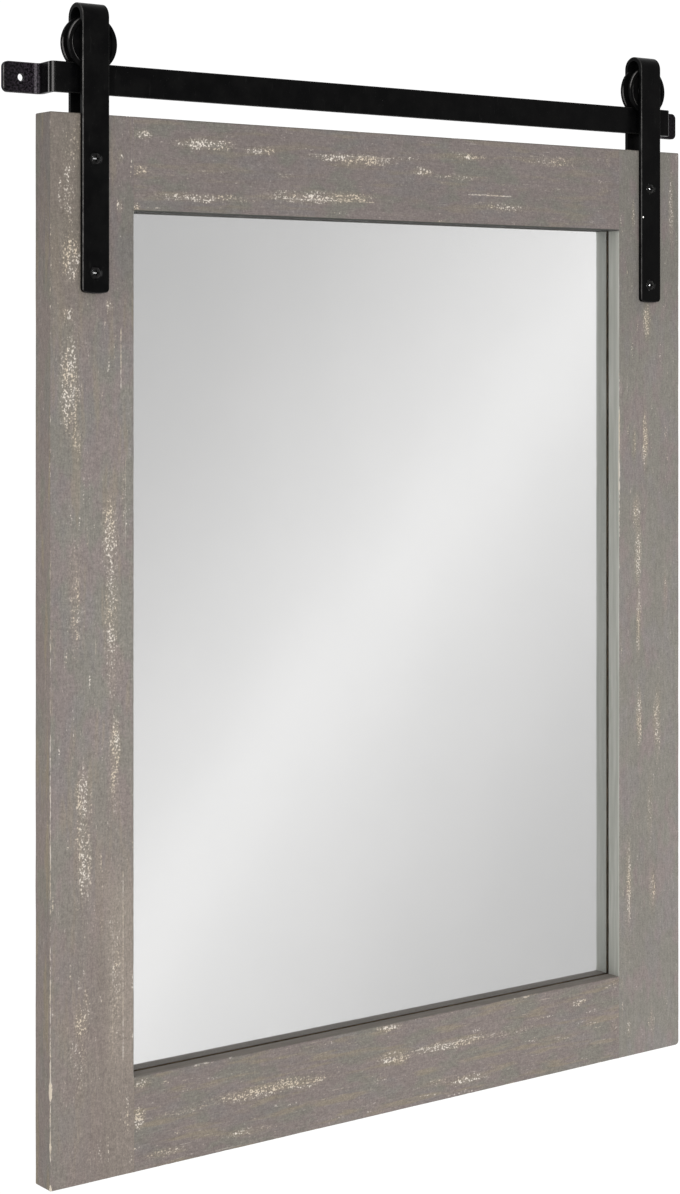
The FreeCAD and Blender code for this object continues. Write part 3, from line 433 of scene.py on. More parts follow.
def turned_black(name, centre):
    """Coated turned steel: fine rings about the axle, and thin painted highlight lines on the flange edges, only on the
    arcs turned to the light.
    """
    t = Tree(name)
    p = t.vmath("MULTIPLY", t.obj(), (1000.0, 1000.0, 1000.0))
    d = t.vmath("SUBTRACT", p, centre)
    x, y, z = t.split(d)
    r = t.math("SQRT", t.math("ADD", t.math("MULTIPLY", x, x), t.math("MULTIPLY", z, z)))
    rings = t.noise(t.join(t.math("MULTIPLY", r, 3.2), t.math("MULTIPLY", y, 2.4), 0.0), detail=3.0, rough=0.6)
    cloud = t.noise(p, scale=1.0 / 6.0, detail=3.0)
    base = t.mix(t.step(cloud, 0.35, 0.7), (0.0010, 0.0010, 0.0011), (0.0020, 0.0019, 0.0019))
    ay = t.math("ABSOLUTE", y)

    # the arc of the wheel on which each painted highlight line sits
    def facing(deg, half):
        c, s_ = math.cos(math.radians(deg)), math.sin(math.radians(deg))
        along = t.math("DIVIDE", t.math("ADD", t.math("MULTIPLY", x, c), t.math("MULTIPLY", z, s_)), t.math("MAXIMUM", r, 0.5))
        return t.step(along, math.cos(math.radians(half + 12)), math.cos(math.radians(max(half - 8, 1))))

    outer = t.step(t.math("ABSOLUTE", t.math("SUBTRACT", r, 18.15)), 0.15, 0.45, 1.0, 0.0)
    rim_glint = t.math("MULTIPLY", t.math("MULTIPLY", outer, t.step(t.math("ABSOLUTE", t.math("ADD", y, 5.25)), 0.15, 0.5, 1.0, 0.0)), facing(150, 17))
    ring = t.math("MULTIPLY", t.math("MULTIPLY", t.step(t.math("ABSOLUTE", t.math("SUBTRACT", r, 15.35)), 0.12, 0.42, 1.0, 0.0), t.step(y, -4.9, -5.3, 0.0, 1.0)), facing(197, 24))
    rear = t.math("MULTIPLY", t.math("MULTIPLY", t.step(r, 17.1, 17.6), t.step(t.math("ABSOLUTE", t.math("SUBTRACT", y, 3.05)), 0.12, 0.32, 1.0, 0.0)), facing(193, 17))
    flange_highlights = t.math("MAXIMUM", t.math("MAXIMUM", rim_glint, t.math("MULTIPLY", ring, 1.0)), t.math("MULTIPLY", rear, 1.0))
    flange_highlights = t.math("MULTIPLY", flange_highlights, t.lin(cloud, 0.35, 0.65, 0.6, 1.0))
    base = t.mix(t.math("MULTIPLY", flange_highlights, 0.80), base, (0.085, 0.082, 0.080))
    # the groove's floor is polished by the bar
    tread = t.math("MULTIPLY", t.step(t.math("ABSOLUTE", t.math("SUBTRACT", r, 12.6)), 0.2, 0.9, 1.0, 0.0), t.step(ay, 1.6, 2.2, 1.0, 0.0))
    base = t.mix(t.math("MULTIPLY", tread, 0.5), base, (0.05, 0.049, 0.047))
    t.set(base=base, rough=t.lin(rings, 0.3, 0.7, 0.28, 0.38), spec=0.022, normal=t.bump(rings, 0.00005, 0.6))
    return t.mat


def screw_metal(name, colour, metal, rough, lift=1.0):
    t = Tree(name)
    p = t.vmath("MULTIPLY", t.obj(), (1000.0, 1000.0, 1000.0))
    n = t.noise(p, scale=1.0 / 1.1, detail=3.0, rough=0.6)
    m = t.noise(p, scale=1.0 / 3.5, detail=2.0)
    base = t.mix(t.step(m, 0.35, 0.65), colour, dim(colour, 1.5 * lift))
    t.set(base=base, metal=metal, rough=t.lin(n, 0.3, 0.7, rough - 0.07, rough + 0.10), normal=t.bump(n, 0.00003, 0.5))
    return t.mat


def screw_black(name, centre):
    """Black-oxide screw heads: very dark, a small sharp highlight, and a painted highlight on the right of the
    countersunk edge.
    """
    t = Tree(name)
    p = t.vmath("MULTIPLY", t.obj(), (1000.0, 1000.0, 1000.0))
    x, y, z = t.split(p)
    n = t.noise(p, scale=1.0 / 0.9, detail=3.0, rough=0.6)
    m = t.noise(p, scale=1.0 / 2.5, detail=2.0)
    base = t.mix(t.step(m, 0.35, 0.65), (0.0012, 0.0012, 0.0013), (0.0030, 0.0029, 0.0028))
    dx = t.math("SUBTRACT", x, centre)
    dz = t.math("MINIMUM", t.math("ABSOLUTE", t.math("ADD", z, 52.2)), t.math("ABSOLUTE", t.math("ADD", z, 126.0)))
    r = t.math("SQRT", t.math("ADD", t.math("MULTIPLY", dx, dx), t.math("MULTIPLY", dz, dz)))
    # painted highlight on the right side of the countersunk edge
    rim_glint = t.math("MULTIPLY", t.step(t.math("ABSOLUTE", t.math("SUBTRACT", r, 3.45)), 0.12, 0.42, 1.0, 0.0), t.step(dx, 0.2, 2.6))
    base = t.mix(t.math("MULTIPLY", rim_glint, 0.40), base, (0.050, 0.049, 0.048))
    t.set(base=base, rough=t.lin(n, 0.3, 0.7, 0.13, 0.19), spec=0.14, normal=t.bump(n, 0.00002, 0.5))
    return t.mat


def zinc(name):
    t = Tree(name)
    p = t.vmath("MULTIPLY", t.obj(), (1000.0, 1000.0, 1000.0))
    roll = t.noise(t.vmath("MULTIPLY", p, (1 / 9.0, 1 / 9.0, 1 / 0.5)), detail=3.0, rough=0.6)
    cell = t.voronoi(p, scale=1.0 / 1.6, out=1)
    tint = t.noise(p, scale=1.0 / 5.0, detail=2.0)
    base = t.mix(t.step(tint, 0.4, 0.6), (0.62, 0.62, 0.60), (0.54, 0.55, 0.57))
    base = t.mix(0.10, base, cell)
    t.set(base=base, metal=1.0, rough=t.lin(roll, 0.3, 0.7, 0.26, 0.40), normal=t.bump(roll, 0.00003, 0.6))
    return t.mat


def hardboard(name):
    t = Tree(name)
    p = t.vmath("MULTIPLY", t.obj(), (1000.0, 1000.0, 1000.0))
    fibre = t.noise(p, scale=1.0 / 1.1, detail=5.0, rough=0.72)
    blot = t.noise(p, scale=1.0 / 38.0, detail=4.0, rough=0.6)
    strand = t.noise(t.vmath("MULTIPLY", p, (1 / 6.0, 1 / 2.0, 1 / 0.8)), detail=3.0, rough=0.7, distort=1.2)
    base = t.mix(t.step(blot, 0.35, 0.65), srgb(122, 90, 62), srgb(131, 98, 69))
    fleck = t.noise(p, scale=1.0 / 3.0, detail=5.0, rough=0.75, distort=0.8)
    base = t.scale(base, t.lin(fleck, 0.30, 0.70, 0.88, 1.12))
    wisp = t.noise(t.vmath("MULTIPLY", p, (1 / 1.6, 1 / 2.0, 1 / 9.0)), detail=3.0, rough=0.65, distort=1.6)
    base = t.mix(t.math("MULTIPLY", t.step(wisp, 0.56, 0.70), 0.35), base, srgb(158, 122, 88))
    base = t.mix(t.math("MULTIPLY", t.step(fibre, 0.52, 0.70), 0.55), base, srgb(172, 134, 96))
    base = t.mix(t.math("MULTIPLY", t.step(strand, 0.58, 0.70), 0.40), base, srgb(84, 58, 38))
    t.set(base=base, rough=t.lin(fibre, 0.3, 0.7, 0.62, 0.80), spec=0.25, normal=t.bump(t.math("ADD", fibre, t.math("MULTIPLY", strand, 0.6)), 0.00010, 0.6))
    return t.mat


def rubber(name):
    t = Tree(name)
    p = t.vmath("MULTIPLY", t.obj(), (1000.0, 1000.0, 1000.0))
    n = t.noise(p, scale=1.0 / 0.6, detail=3.0, rough=0.6)
    m = t.noise(p, scale=1.0 / 4.0, detail=2.0)
    t.set(base=t.mix(t.step(m, 0.35, 0.65), (0.020, 0.020, 0.021), (0.030, 0.030, 0.031)), rough=t.lin(n, 0.3, 0.7, 0.62, 0.78), spec=0.35,
          normal=t.bump(n, 0.00006, 0.6))
    return t.mat


def bronze(name):
    t = Tree(name)
    p = t.vmath("MULTIPLY", t.obj(), (1000.0, 1000.0, 1000.0))
    n = t.noise(p, scale=1.0 / 0.35, detail=3.0, rough=0.7)
    t.set(base=t.mix(t.step(n, 0.35, 0.65), (0.42, 0.27, 0.12), (0.55, 0.37, 0.18)), metal=1.0, rough=t.lin(n, 0.3, 0.7, 0.35, 0.55), normal=t.bump(n, 0.00003, 0.6))
    return t.mat


def nylon(name):
    t = Tree(name)
    p = t.vmath("MULTIPLY", t.obj(), (1000.0, 1000.0, 1000.0))
    n = t.noise(p, scale=1.0 / 0.8, detail=2.0)
    t.set(base=t.mix(t.step(n, 0.35, 0.65), (0.56, 0.55, 0.50), (0.62, 0.61, 0.56)), rough=t.lin(n, 0.3, 0.7, 0.40, 0.52), normal=t.bump(n, 0.00002, 0.5))
    return t.mat


def beech(name):
    t = Tree(name)
    p = t.vmath("MULTIPLY", t.obj(), (1000.0, 1000.0, 1000.0))
    n = t.noise(t.vmath("MULTIPLY", p, (1 / 22.0, 1 / 0.7, 1 / 0.7)), detail=3.0, rough=0.6)
    t.set(base=t.mix(t.step(n, 0.3, 0.7), srgb(206, 170, 128), srgb(184, 142, 98)), rough=t.lin(n, 0.3, 0.7, 0.55, 0.70), normal=t.bump(n, 0.00008, 0.6))
    return t.mat


def clear_glass(name):
    t = Tree(name)
    p = t.vmath("MULTIPLY", t.obj(), (1000.0, 1000.0, 1000.0))
    n = t.noise(p, scale=1.0 / 90.0, detail=1.0)
    t.set(base=t.mix(t.step(n, 0.3, 0.7), (0.983, 0.990, 0.989), (0.979, 0.987, 0.986)), rough=0.0, trans=1.0, ior=1.50, spec=0.5)
    return t.mat


def silver(name):
    t = Tree(name)
    p = t.vmath("MULTIPLY", t.obj(), (1000.0, 1000.0, 1000.0))
    n = t.noise(p, scale=1.0 / 60.0, detail=2.0)
    t.set(base=t.mix(t.step(n, 0.3, 0.7), (0.806, 0.810, 0.822), (0.814, 0.818, 0.830)), metal=1.0, rough=t.lin(n, 0.3, 0.7, 0.002, 0.006))
    return t.mat


def mirror_backing_paint(name):
    t = Tree(name)
    p = t.vmath("MULTIPLY", t.obj(), (1000.0, 1000.0, 1000.0))
    n = t.noise(p, scale=1.0 / 8.0, detail=4.0)
    t.set(base=t.mix(t.step(n, 0.3, 0.7), srgb(92, 98, 96), srgb(104, 110, 108)), rough=t.lin(n, 0.3, 0.7, 0.5, 0.65), normal=t.bump(n, 0.00004, 0.6))
    return t.mat


# ------------------------------------------------------------------ frame members as dense cell meshes
W, HT, TH = 559.0, 690.0, 19.0
SW, RW, REB_W, REB_D = 63.0, 62.0, 8.0, 7.2
FRONT, BOTTOM = -27.0, -713.2
LIP = TH - REB_D


def spaced(a, b, step, fine_lo=True, fine_hi=True, marks=()):
    """Positions from a to b, close near worn edges, with the marks kept."""
    ladder = [0.0, 0.22, 0.45, 0.7, 1.0, 1.4, 1.9, 2.6, 3.5, 4.7]
    pts = {a, b, *marks}
    if fine_lo:
        pts |= {a + k for k in ladder if a + k < b}
    if fine_hi:
        pts |= {b - k for k in ladder if b - k > a}
    lo = a + (ladder[-1] if fine_lo else 0.0)
    hi = b - (ladder[-1] if fine_hi else 0.0)
    if hi > lo:
        n = max(1, int(round((hi - lo) / step)))
        pts |= {lo + (hi - lo) * i / n for i in range(n + 1)}
    out = sorted(pts)
    keep = [out[0]]
    for v in out[1:]:
        if v - keep[-1] < 0.09 and v not in (a, b, *marks):
            continue
        if v - keep[-1] < 0.09:
            if keep[-1] in (a, b, *marks):
                if abs(v - keep[-1]) < 1e-6:
                    continue
                keep.append(v)
            else:
                keep[-1] = v
            continue
        keep.append(v)
    return np.array(keep)


def cell_surface(xs, ys, zs, filled):
    """Outside faces of the filled cells, as shared vertices and quads."""
    nx, ny, nz = len(xs), len(ys), len(zs)
    pad = np.zeros((nx + 1, ny + 1, nz + 1), bool)
    pad[1:-1, 1:-1, 1:-1] = filled

    def vid(i, j, k):
        return (i * ny + j) * nz + k

    quads, normals = [], []
    for axis in range(3):
        for sign in (1, -1):
            a = pad
            b = np.roll(pad, -sign, axis)
            face = a & ~b
            i, j, k = np.nonzero(face)
            i, j, k = i - 1, j - 1, k - 1
            o = 1 if sign > 0 else 0
            if axis == 0:
                c = [vid(i + o, j, k), vid(i + o, j + 1, k), vid(i + o, j + 1, k + 1), vid(i + o, j, k + 1)]
            elif axis == 1:
                c = [vid(i, j + o, k), vid(i, j + o, k + 1), vid(i + 1, j + o, k + 1), vid(i + 1, j + o, k)]
            else:
                c = [vid(i, j, k + o), vid(i + 1, j, k + o), vid(i + 1, j + 1, k + o), vid(i, j + 1, k + o)]
            qd = np.stack(c, 1)
            if sign < 0:
                qd = qd[:, ::-1]
            quads.append(qd)
            normals.append(np.full(len(qd), axis * 2 + (0 if sign > 0 else 1)))
    quads = np.concatenate(quads)
    normals = np.concatenate(normals)
    used, inv = np.unique(quads, return_inverse=True)
    quads = inv.reshape(quads.shape)
    k = used % nz
    j = (used // nz) % ny
    i = used // (nz * ny)
    V = np.stack([xs[i], ys[j], zs[k]], 1).astype(float)
    return V, quads, normals


def wobble(t, scale, seed, octaves=3):
    """Smooth repeatable noise along one coordinate, about -1..1."""
    out = np.zeros_like(t)
    amp = 1.0
    for o in range(octaves):
        s = scale / (2.0 ** o)
        u = t / s + seed * 17.31 + o * 5.7
        i0 = np.floor(u).astype(int)
        fr = u - i0
        fr = fr * fr * (3 - 2 * fr)

        def h(n):
            v = np.sin(n * 127.1 + seed * 311.7 + o * 74.7) * 43758.5453
            return (v - np.floor(v)) * 2 - 1
        out += amp * (h(i0) * (1 - fr) + h(i0 + 1) * fr)
        amp *= 0.5
    return out / 1.6


def round_arris(V, base, A, pa, sa, B, pb, sb, T, ra, rb):
    """Rounds the arris where face A (coordinate A = pa, solid on side sa) meets
    face B. ra: reach on face B along A; rb: reach on face A along B; both are
    arrays over the vertices. base holds the square-edged coordinates."""
    a = (base[:, A] - pa) * sa
    b = (base[:, B] - pb) * sb
    onA = np.abs(a) < 1e-6
    onB = np.abs(b) < 1e-6
    both = onA & onB
    sB = onB & ~both & (a > 0) & (a < ra)      # on face B, close to the arris
    sA = onA & ~both & (b > 0) & (b < rb)
    th = np.full(len(V), np.nan)
    th[both] = 45.0
    th[sB] = 45.0 + 45.0 * (a[sB] / ra[sB])
    th[sA] = 45.0 - 45.0 * (b[sA] / rb[sA])
    m = ~np.isnan(th)
    r = np.radians(th[m])
    V[m, A] += (ra[m] * (1 - np.cos(r)) - a[m]) * sa
    V[m, B] += (rb[m] * (1 - np.sin(r)) - b[m]) * sb
    near = np.zeros(len(V))
    dist = np.where(onB, a / np.maximum(ra, 1e-6), np.where(onA, b / np.maximum(rb, 1e-6), 9.0))
    ok = onA | onB
    near[ok] = np.clip(1.35 - 0.75 * np.abs(dist[ok]), 0.0, 1.0)
    near[~(T)] = 0.0
    return near


def chip_list(seed, lo, hi, count, size):
    rng = np.random.RandomState(int(seed))
    return [(rng.uniform(lo, hi), rng.uniform(*size), rng.uniform(0.5, 1.0)) for _ in range(count)]


def chip_field(t, chips, seed):
    f = np.zeros_like(t)
    for c, ln, k in chips:
        d = np.abs(t - c + 0.8 * wobble(t, 3.0, seed + c * 0.01, 2)) / ln
        f = np.maximum(f, k * np.clip(1.0 - d ** 2, 0.0, 1.0))
    return f


def rub_field(t, u, marks, seed):
    """Rubbed zones on a front face: each mark is (along, across, half length, half width, strength)."""
    f = np.zeros(len(t))
    for i, (ct, cu, hl, hw, k) in enumerate(marks):
        bend = 0.35 * hw * wobble(t, 22.0, seed + i * 1.7, 2)
        d = np.sqrt(((t - ct) / (hl * 1.50)) ** 2 + ((u - cu - bend) / (hw * 1.55)) ** 2)
        f = np.maximum(f, k * np.clip(1.35 * (1.0 - d), 0.0, 1.0))
    return f


def line_field(t, u, lines, seed):
    """Thin drawn lines along the grain: (start, end, across, half width, strength)."""
    f = np.zeros(len(t))
    for i, (a, b, cu, hw, k) in enumerate(lines):
        d = np.abs(u - cu) / hw
        e = np.clip(np.minimum(t - a, b - t) / 5.0 + 0.5, 0.0, 1.0)
        f = np.maximum(f, k * e * np.clip(1.5 - d, 0.0, 1.0))
    return f


def build_member(name, node, axis, place, V, base, quads, normals, wear, chip, grime_and_shade, over, slots, rub, line, body="mirror"):
    me = bpy.data.meshes.new(name)
    P = (V + np.array(place)) * MM
    me.from_pydata(P.tolist(), [], quads.tolist())
    for key, arr in (("wear", wear), ("chip", chip), ("grime_and_shade", grime_and_shade), ("over", over), ("rub", rub), ("line", line)):
        at = me.attributes.new(key, "FLOAT", "POINT")
        at.data.foreach_set("value", arr.astype(np.float32))
    mats, index = slots
    for m in mats:
        me.materials.append(m)
    me.polygons.foreach_set("material_index", index.astype(np.int32))
    me.polygons.foreach_set("use_smooth", np.ones(len(quads), bool))
    me.update()
    ob = bpy.data.objects.new(name, me)
    scene.collection.objects.link(ob)
    # crisp where the section really turns, smooth over the worn arris
    me.set_sharp_from_angle(angle=math.radians(50))
    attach(ob, body)
    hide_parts(node)
    return ob


def make_stile(name, node, side, seed, chips_front, worn, mats, marks, lines):
    """side -1: left. Local x from the outer edge (0) to the opening (SW)."""
    z0, z1 = RW, HT - RW
    cuts = [c for _, _, cu, hw, _ in lines for c in (cu - 1.5 * hw, cu - 0.5 * hw, cu + 0.5 * hw, cu + 1.5 * hw)]
    xs = spaced(0, SW, 2.0, marks=(SW - REB_W, *cuts))
    ys = spaced(0, TH, 1.6, marks=(LIP - 1.3, LIP - 0.8, LIP - 0.45, LIP - 0.2, LIP))
    zs = spaced(0, HT, 1.35, marks=(z0 - REB_W, z0, z1, z1 + REB_W))
    cx, cy, cz = (xs[1:] + xs[:-1]) / 2, (ys[1:] + ys[:-1]) / 2, (zs[1:] + zs[:-1]) / 2
    X, Y, Z = np.meshgrid(cx, cy, cz, indexing="ij")
    filled = ~((X > SW - REB_W) & (Y > LIP) & (Z > z0 - REB_W) & (Z < z1 + REB_W))
    V, quads, normals = cell_surface(xs, ys, zs, filled)
    base = V.copy()
    t = base[:, 2]
    n = len(V)
    one = np.ones(n)
    wear = np.zeros(n)
    chip = np.zeros(n)
    # outer front arris: worn along its length, with chips
    cf = chip_field(t, chips_front, seed)
    r = 0.55 + 0.20 * wobble(t, 26, seed) + 0.10 * wobble(t, 4, seed + 3)
    r = np.clip(r, 0.30, 0.95)
    ra = r + 0.95 * cf
    rb = r + 1.05 * cf
    nr = round_arris(V, base, 0, 0.0, 1, 1, 0.0, 1, one > 0, ra, rb)
    amount = np.clip(worn(t) + 0.30 * wobble(t, 18, seed + 7) + 0.25 * wobble(t, 3.2, seed + 9), 0, 1)
    wear = np.maximum(wear, nr * amount)
    chip = np.maximum(chip, nr * np.clip(cf * 1.5, 0, 1))
    # outer back arris
    r2 = np.clip(0.8 + 0.3 * wobble(t, 30, seed + 20), 0.4, 1.3)
    nr = round_arris(V, base, 0, 0.0, 1, 1, TH, -1, one > 0, r2, r2)
    wear = np.maximum(wear, nr * np.clip(0.25 + 0.3 * wobble(t, 14, seed + 21), 0, 1))
    # inner front arris: softened along the opening, tight at the butt joints
    opening = np.clip(np.minimum(t - z0, z1 - t) / 2.5, 0, 1)
    r3 = 0.10 + opening * np.clip(0.78 + 0.22 * wobble(t, 20, seed + 30) + 0.12 * wobble(t, 3.5, seed + 31), 0.40, 1.25)
    nr = round_arris(V, base, 0, SW, -1, 1, 0.0, 1, one > 0, r3, r3)
    wear = np.maximum(wear, nr * opening * np.clip(0.10 + (0.75 if side > 0 else 0.35) * np.exp(-((t - HT * 0.66) / 75.0) ** 2) + 0.25 * wobble(t, 12, seed + 33), 0, 1))
    # end arrises
    for pz, sz in ((0.0, 1), (HT, -1)):
        u = base[:, 0]
        r4 = np.clip(0.65 + 0.25 * wobble(u, 12, seed + 40 + sz), 0.3, 1.1)
        nr = round_arris(V, base, 2, pz, sz, 1, 0.0, 1, one > 0, r4, r4)
        wear = np.maximum(wear, nr * np.clip(0.28 + 0.45 * wobble(u, 7, seed + 41), 0, 1))
        nr = round_arris(V, base, 2, pz, sz, 1, TH, -1, one > 0, r4, r4)
        r5 = np.clip(0.8 + 0.3 * wobble(base[:, 1], 6, seed + 44), 0.4, 1.3)
        nr = round_arris(V, base, 0, 0.0, 1, 2, pz, sz, one > 0, r5, r5)
        wear = np.maximum(wear, nr * 0.45)
    # corners knocked round, seen from the front
    for pz, sz in ((0.0, 1), (HT, -1)):
        big = 3.4 if (side > 0 and pz == 0.0) else 0.9
        uu, vv = (big - V[:, 0]) / big, (big - (V[:, 2] - pz) * sz) / big
        m = (uu > 0) & (vv > 0)
        uu, vv = np.clip(uu, 0, 1), np.clip(vv, 0, 1)
        V[m, 0] = big - big * (uu * np.sqrt(1 - vv * vv / 2))[m]
        V[m, 2] = pz + sz * (big - big * (vv * np.sqrt(1 - uu * uu / 2))[m])
    # the lip's back edge, eased by the glass, and painted shade with some dirt in the crevice there
    r6 = opening * np.clip(0.42 + 0.16 * wobble(t, 16, seed + 50) + 0.08 * wobble(t, 4, seed + 51), 0.2, 0.75)
    round_arris(V, base, 0, SW, -1, 1, LIP, -1, one > 0, r6, r6)
    grime_and_shade = np.where(np.abs(base[:, 0] - SW) < 1e-6, np.clip(1 - (LIP - base[:, 1]) / 0.45, 0, 1), 0.0)
    grime_and_shade *= np.clip(0.7 + 0.5 * wobble(t, 9, seed + 55), 0, 1)
    if side < 0:    # a dark line along the left opening's front arris: painted shade at the rounding
        edge_line = np.clip(1.2 - np.hypot(SW - base[:, 0], base[:, 1]) / 0.9, 0, 1) * opening
        grime_and_shade = np.maximum(grime_and_shade, edge_line * np.clip(0.75 + 0.4 * wobble(t, 15, seed + 56), 0, 1))
        wear[base[:, 0] > SW - 0.5] = 0.0
    else:           # dust in the outer arris
        outer = np.clip(1.25 - np.hypot(base[:, 0], base[:, 1]) / 0.9, 0, 1)
        grime_and_shade = np.maximum(grime_and_shade, outer * np.clip(0.62 + 0.35 * wobble(t, 21, seed + 57), 0, 1))
    top_line = np.clip(1.25 - np.hypot(HT - t, base[:, 1]) / 0.9, 0, 1)
    grime_and_shade = np.maximum(grime_and_shade, top_line * np.clip(0.62 + 0.35 * wobble(base[:, 0], 9, seed + 58), 0, 1))
    # faces are not dead flat: shallow plane marks on the front, inwards only
    fr = np.abs(base[:, 1]) < 1e-6
    dip = 0.05 + 0.05 * wobble(base[:, 2], 44, seed + 60) * wobble(base[:, 0] + 40, 19, seed + 61)
    inner_fade = np.clip((SW - base[:, 0]) / 4.0, 0, 1) * np.clip(base[:, 0] / 4.0, 0, 1)
    V[fr, 1] += (np.clip(dip, 0, 0.12) * inner_fade)[fr]
    od = base[:, 0] < 1e-6
    dip2 = np.clip(0.05 + 0.05 * wobble(base[:, 2], 60, seed + 62), 0, 0.12) * np.clip(base[:, 1] / 3.0, 0, 1) * np.clip((TH - base[:, 1]) / 3.0, 0, 1)
    V[od, 0] += dip2[od]
    # paint run-over on the back, from the outer edges
    e = np.minimum(base[:, 0], np.minimum(base[:, 2], HT - base[:, 2]))
    over = np.where(np.abs(base[:, 1] - TH) < 1e-6, np.clip(1.15 - e / 9.0, 0, 1), 0.0)
    # faces to materials: 0 paint, 1 reveal, 2 raw back
    cent = base[quads].mean(1)
    index = np.zeros(len(quads), int)
    index[(normals == 0) & (cent[:, 1] < LIP) & (cent[:, 2] > z0) & (cent[:, 2] < z1)] = 1
    index[(normals == 1) | ((normals >= 4) & ((cent[:, 2] < 0.01) | (cent[:, 2] > HT - 0.01)))] = 4
    # the front face's last 0.45 mm at the left opening takes the reveal paint, as part of that painted shade line
    if side < 0:
        index[(normals == 3) & (cent[:, 0] > SW - 0.45) & (cent[:, 2] > z0) & (cent[:, 2] < z1)] = 1
    index[normals == 2] = 2
    index[(normals == 2) & (cent[:, 1] < TH - 0.1)] = 5
    index[(normals == 0) & (cent[:, 0] < SW - 0.1) & (cent[:, 1] > LIP)] = 3
    index[(normals >= 4) & (cent[:, 1] > LIP) & (cent[:, 0] > SW - REB_W)] = 3
    index[(normals == 0) & (cent[:, 0] > SW - 0.1) & (cent[:, 1] > LIP)] = 2
    if side > 0:
        V[:, 0] = SW - V[:, 0]
        quads = quads[:, ::-1]
        place = (W / 2 - SW, FRONT, BOTTOM)
    else:
        place = (-W / 2, FRONT, BOTTOM)
    rub = rub_field(base[:, 2], base[:, 0], marks, seed) * fr
    line = line_field(base[:, 2], base[:, 0], lines, seed) * fr
    return build_member(name, node, 2, place, V, base, quads, normals, wear, chip, grime_and_shade, over, (mats, index), rub, line)


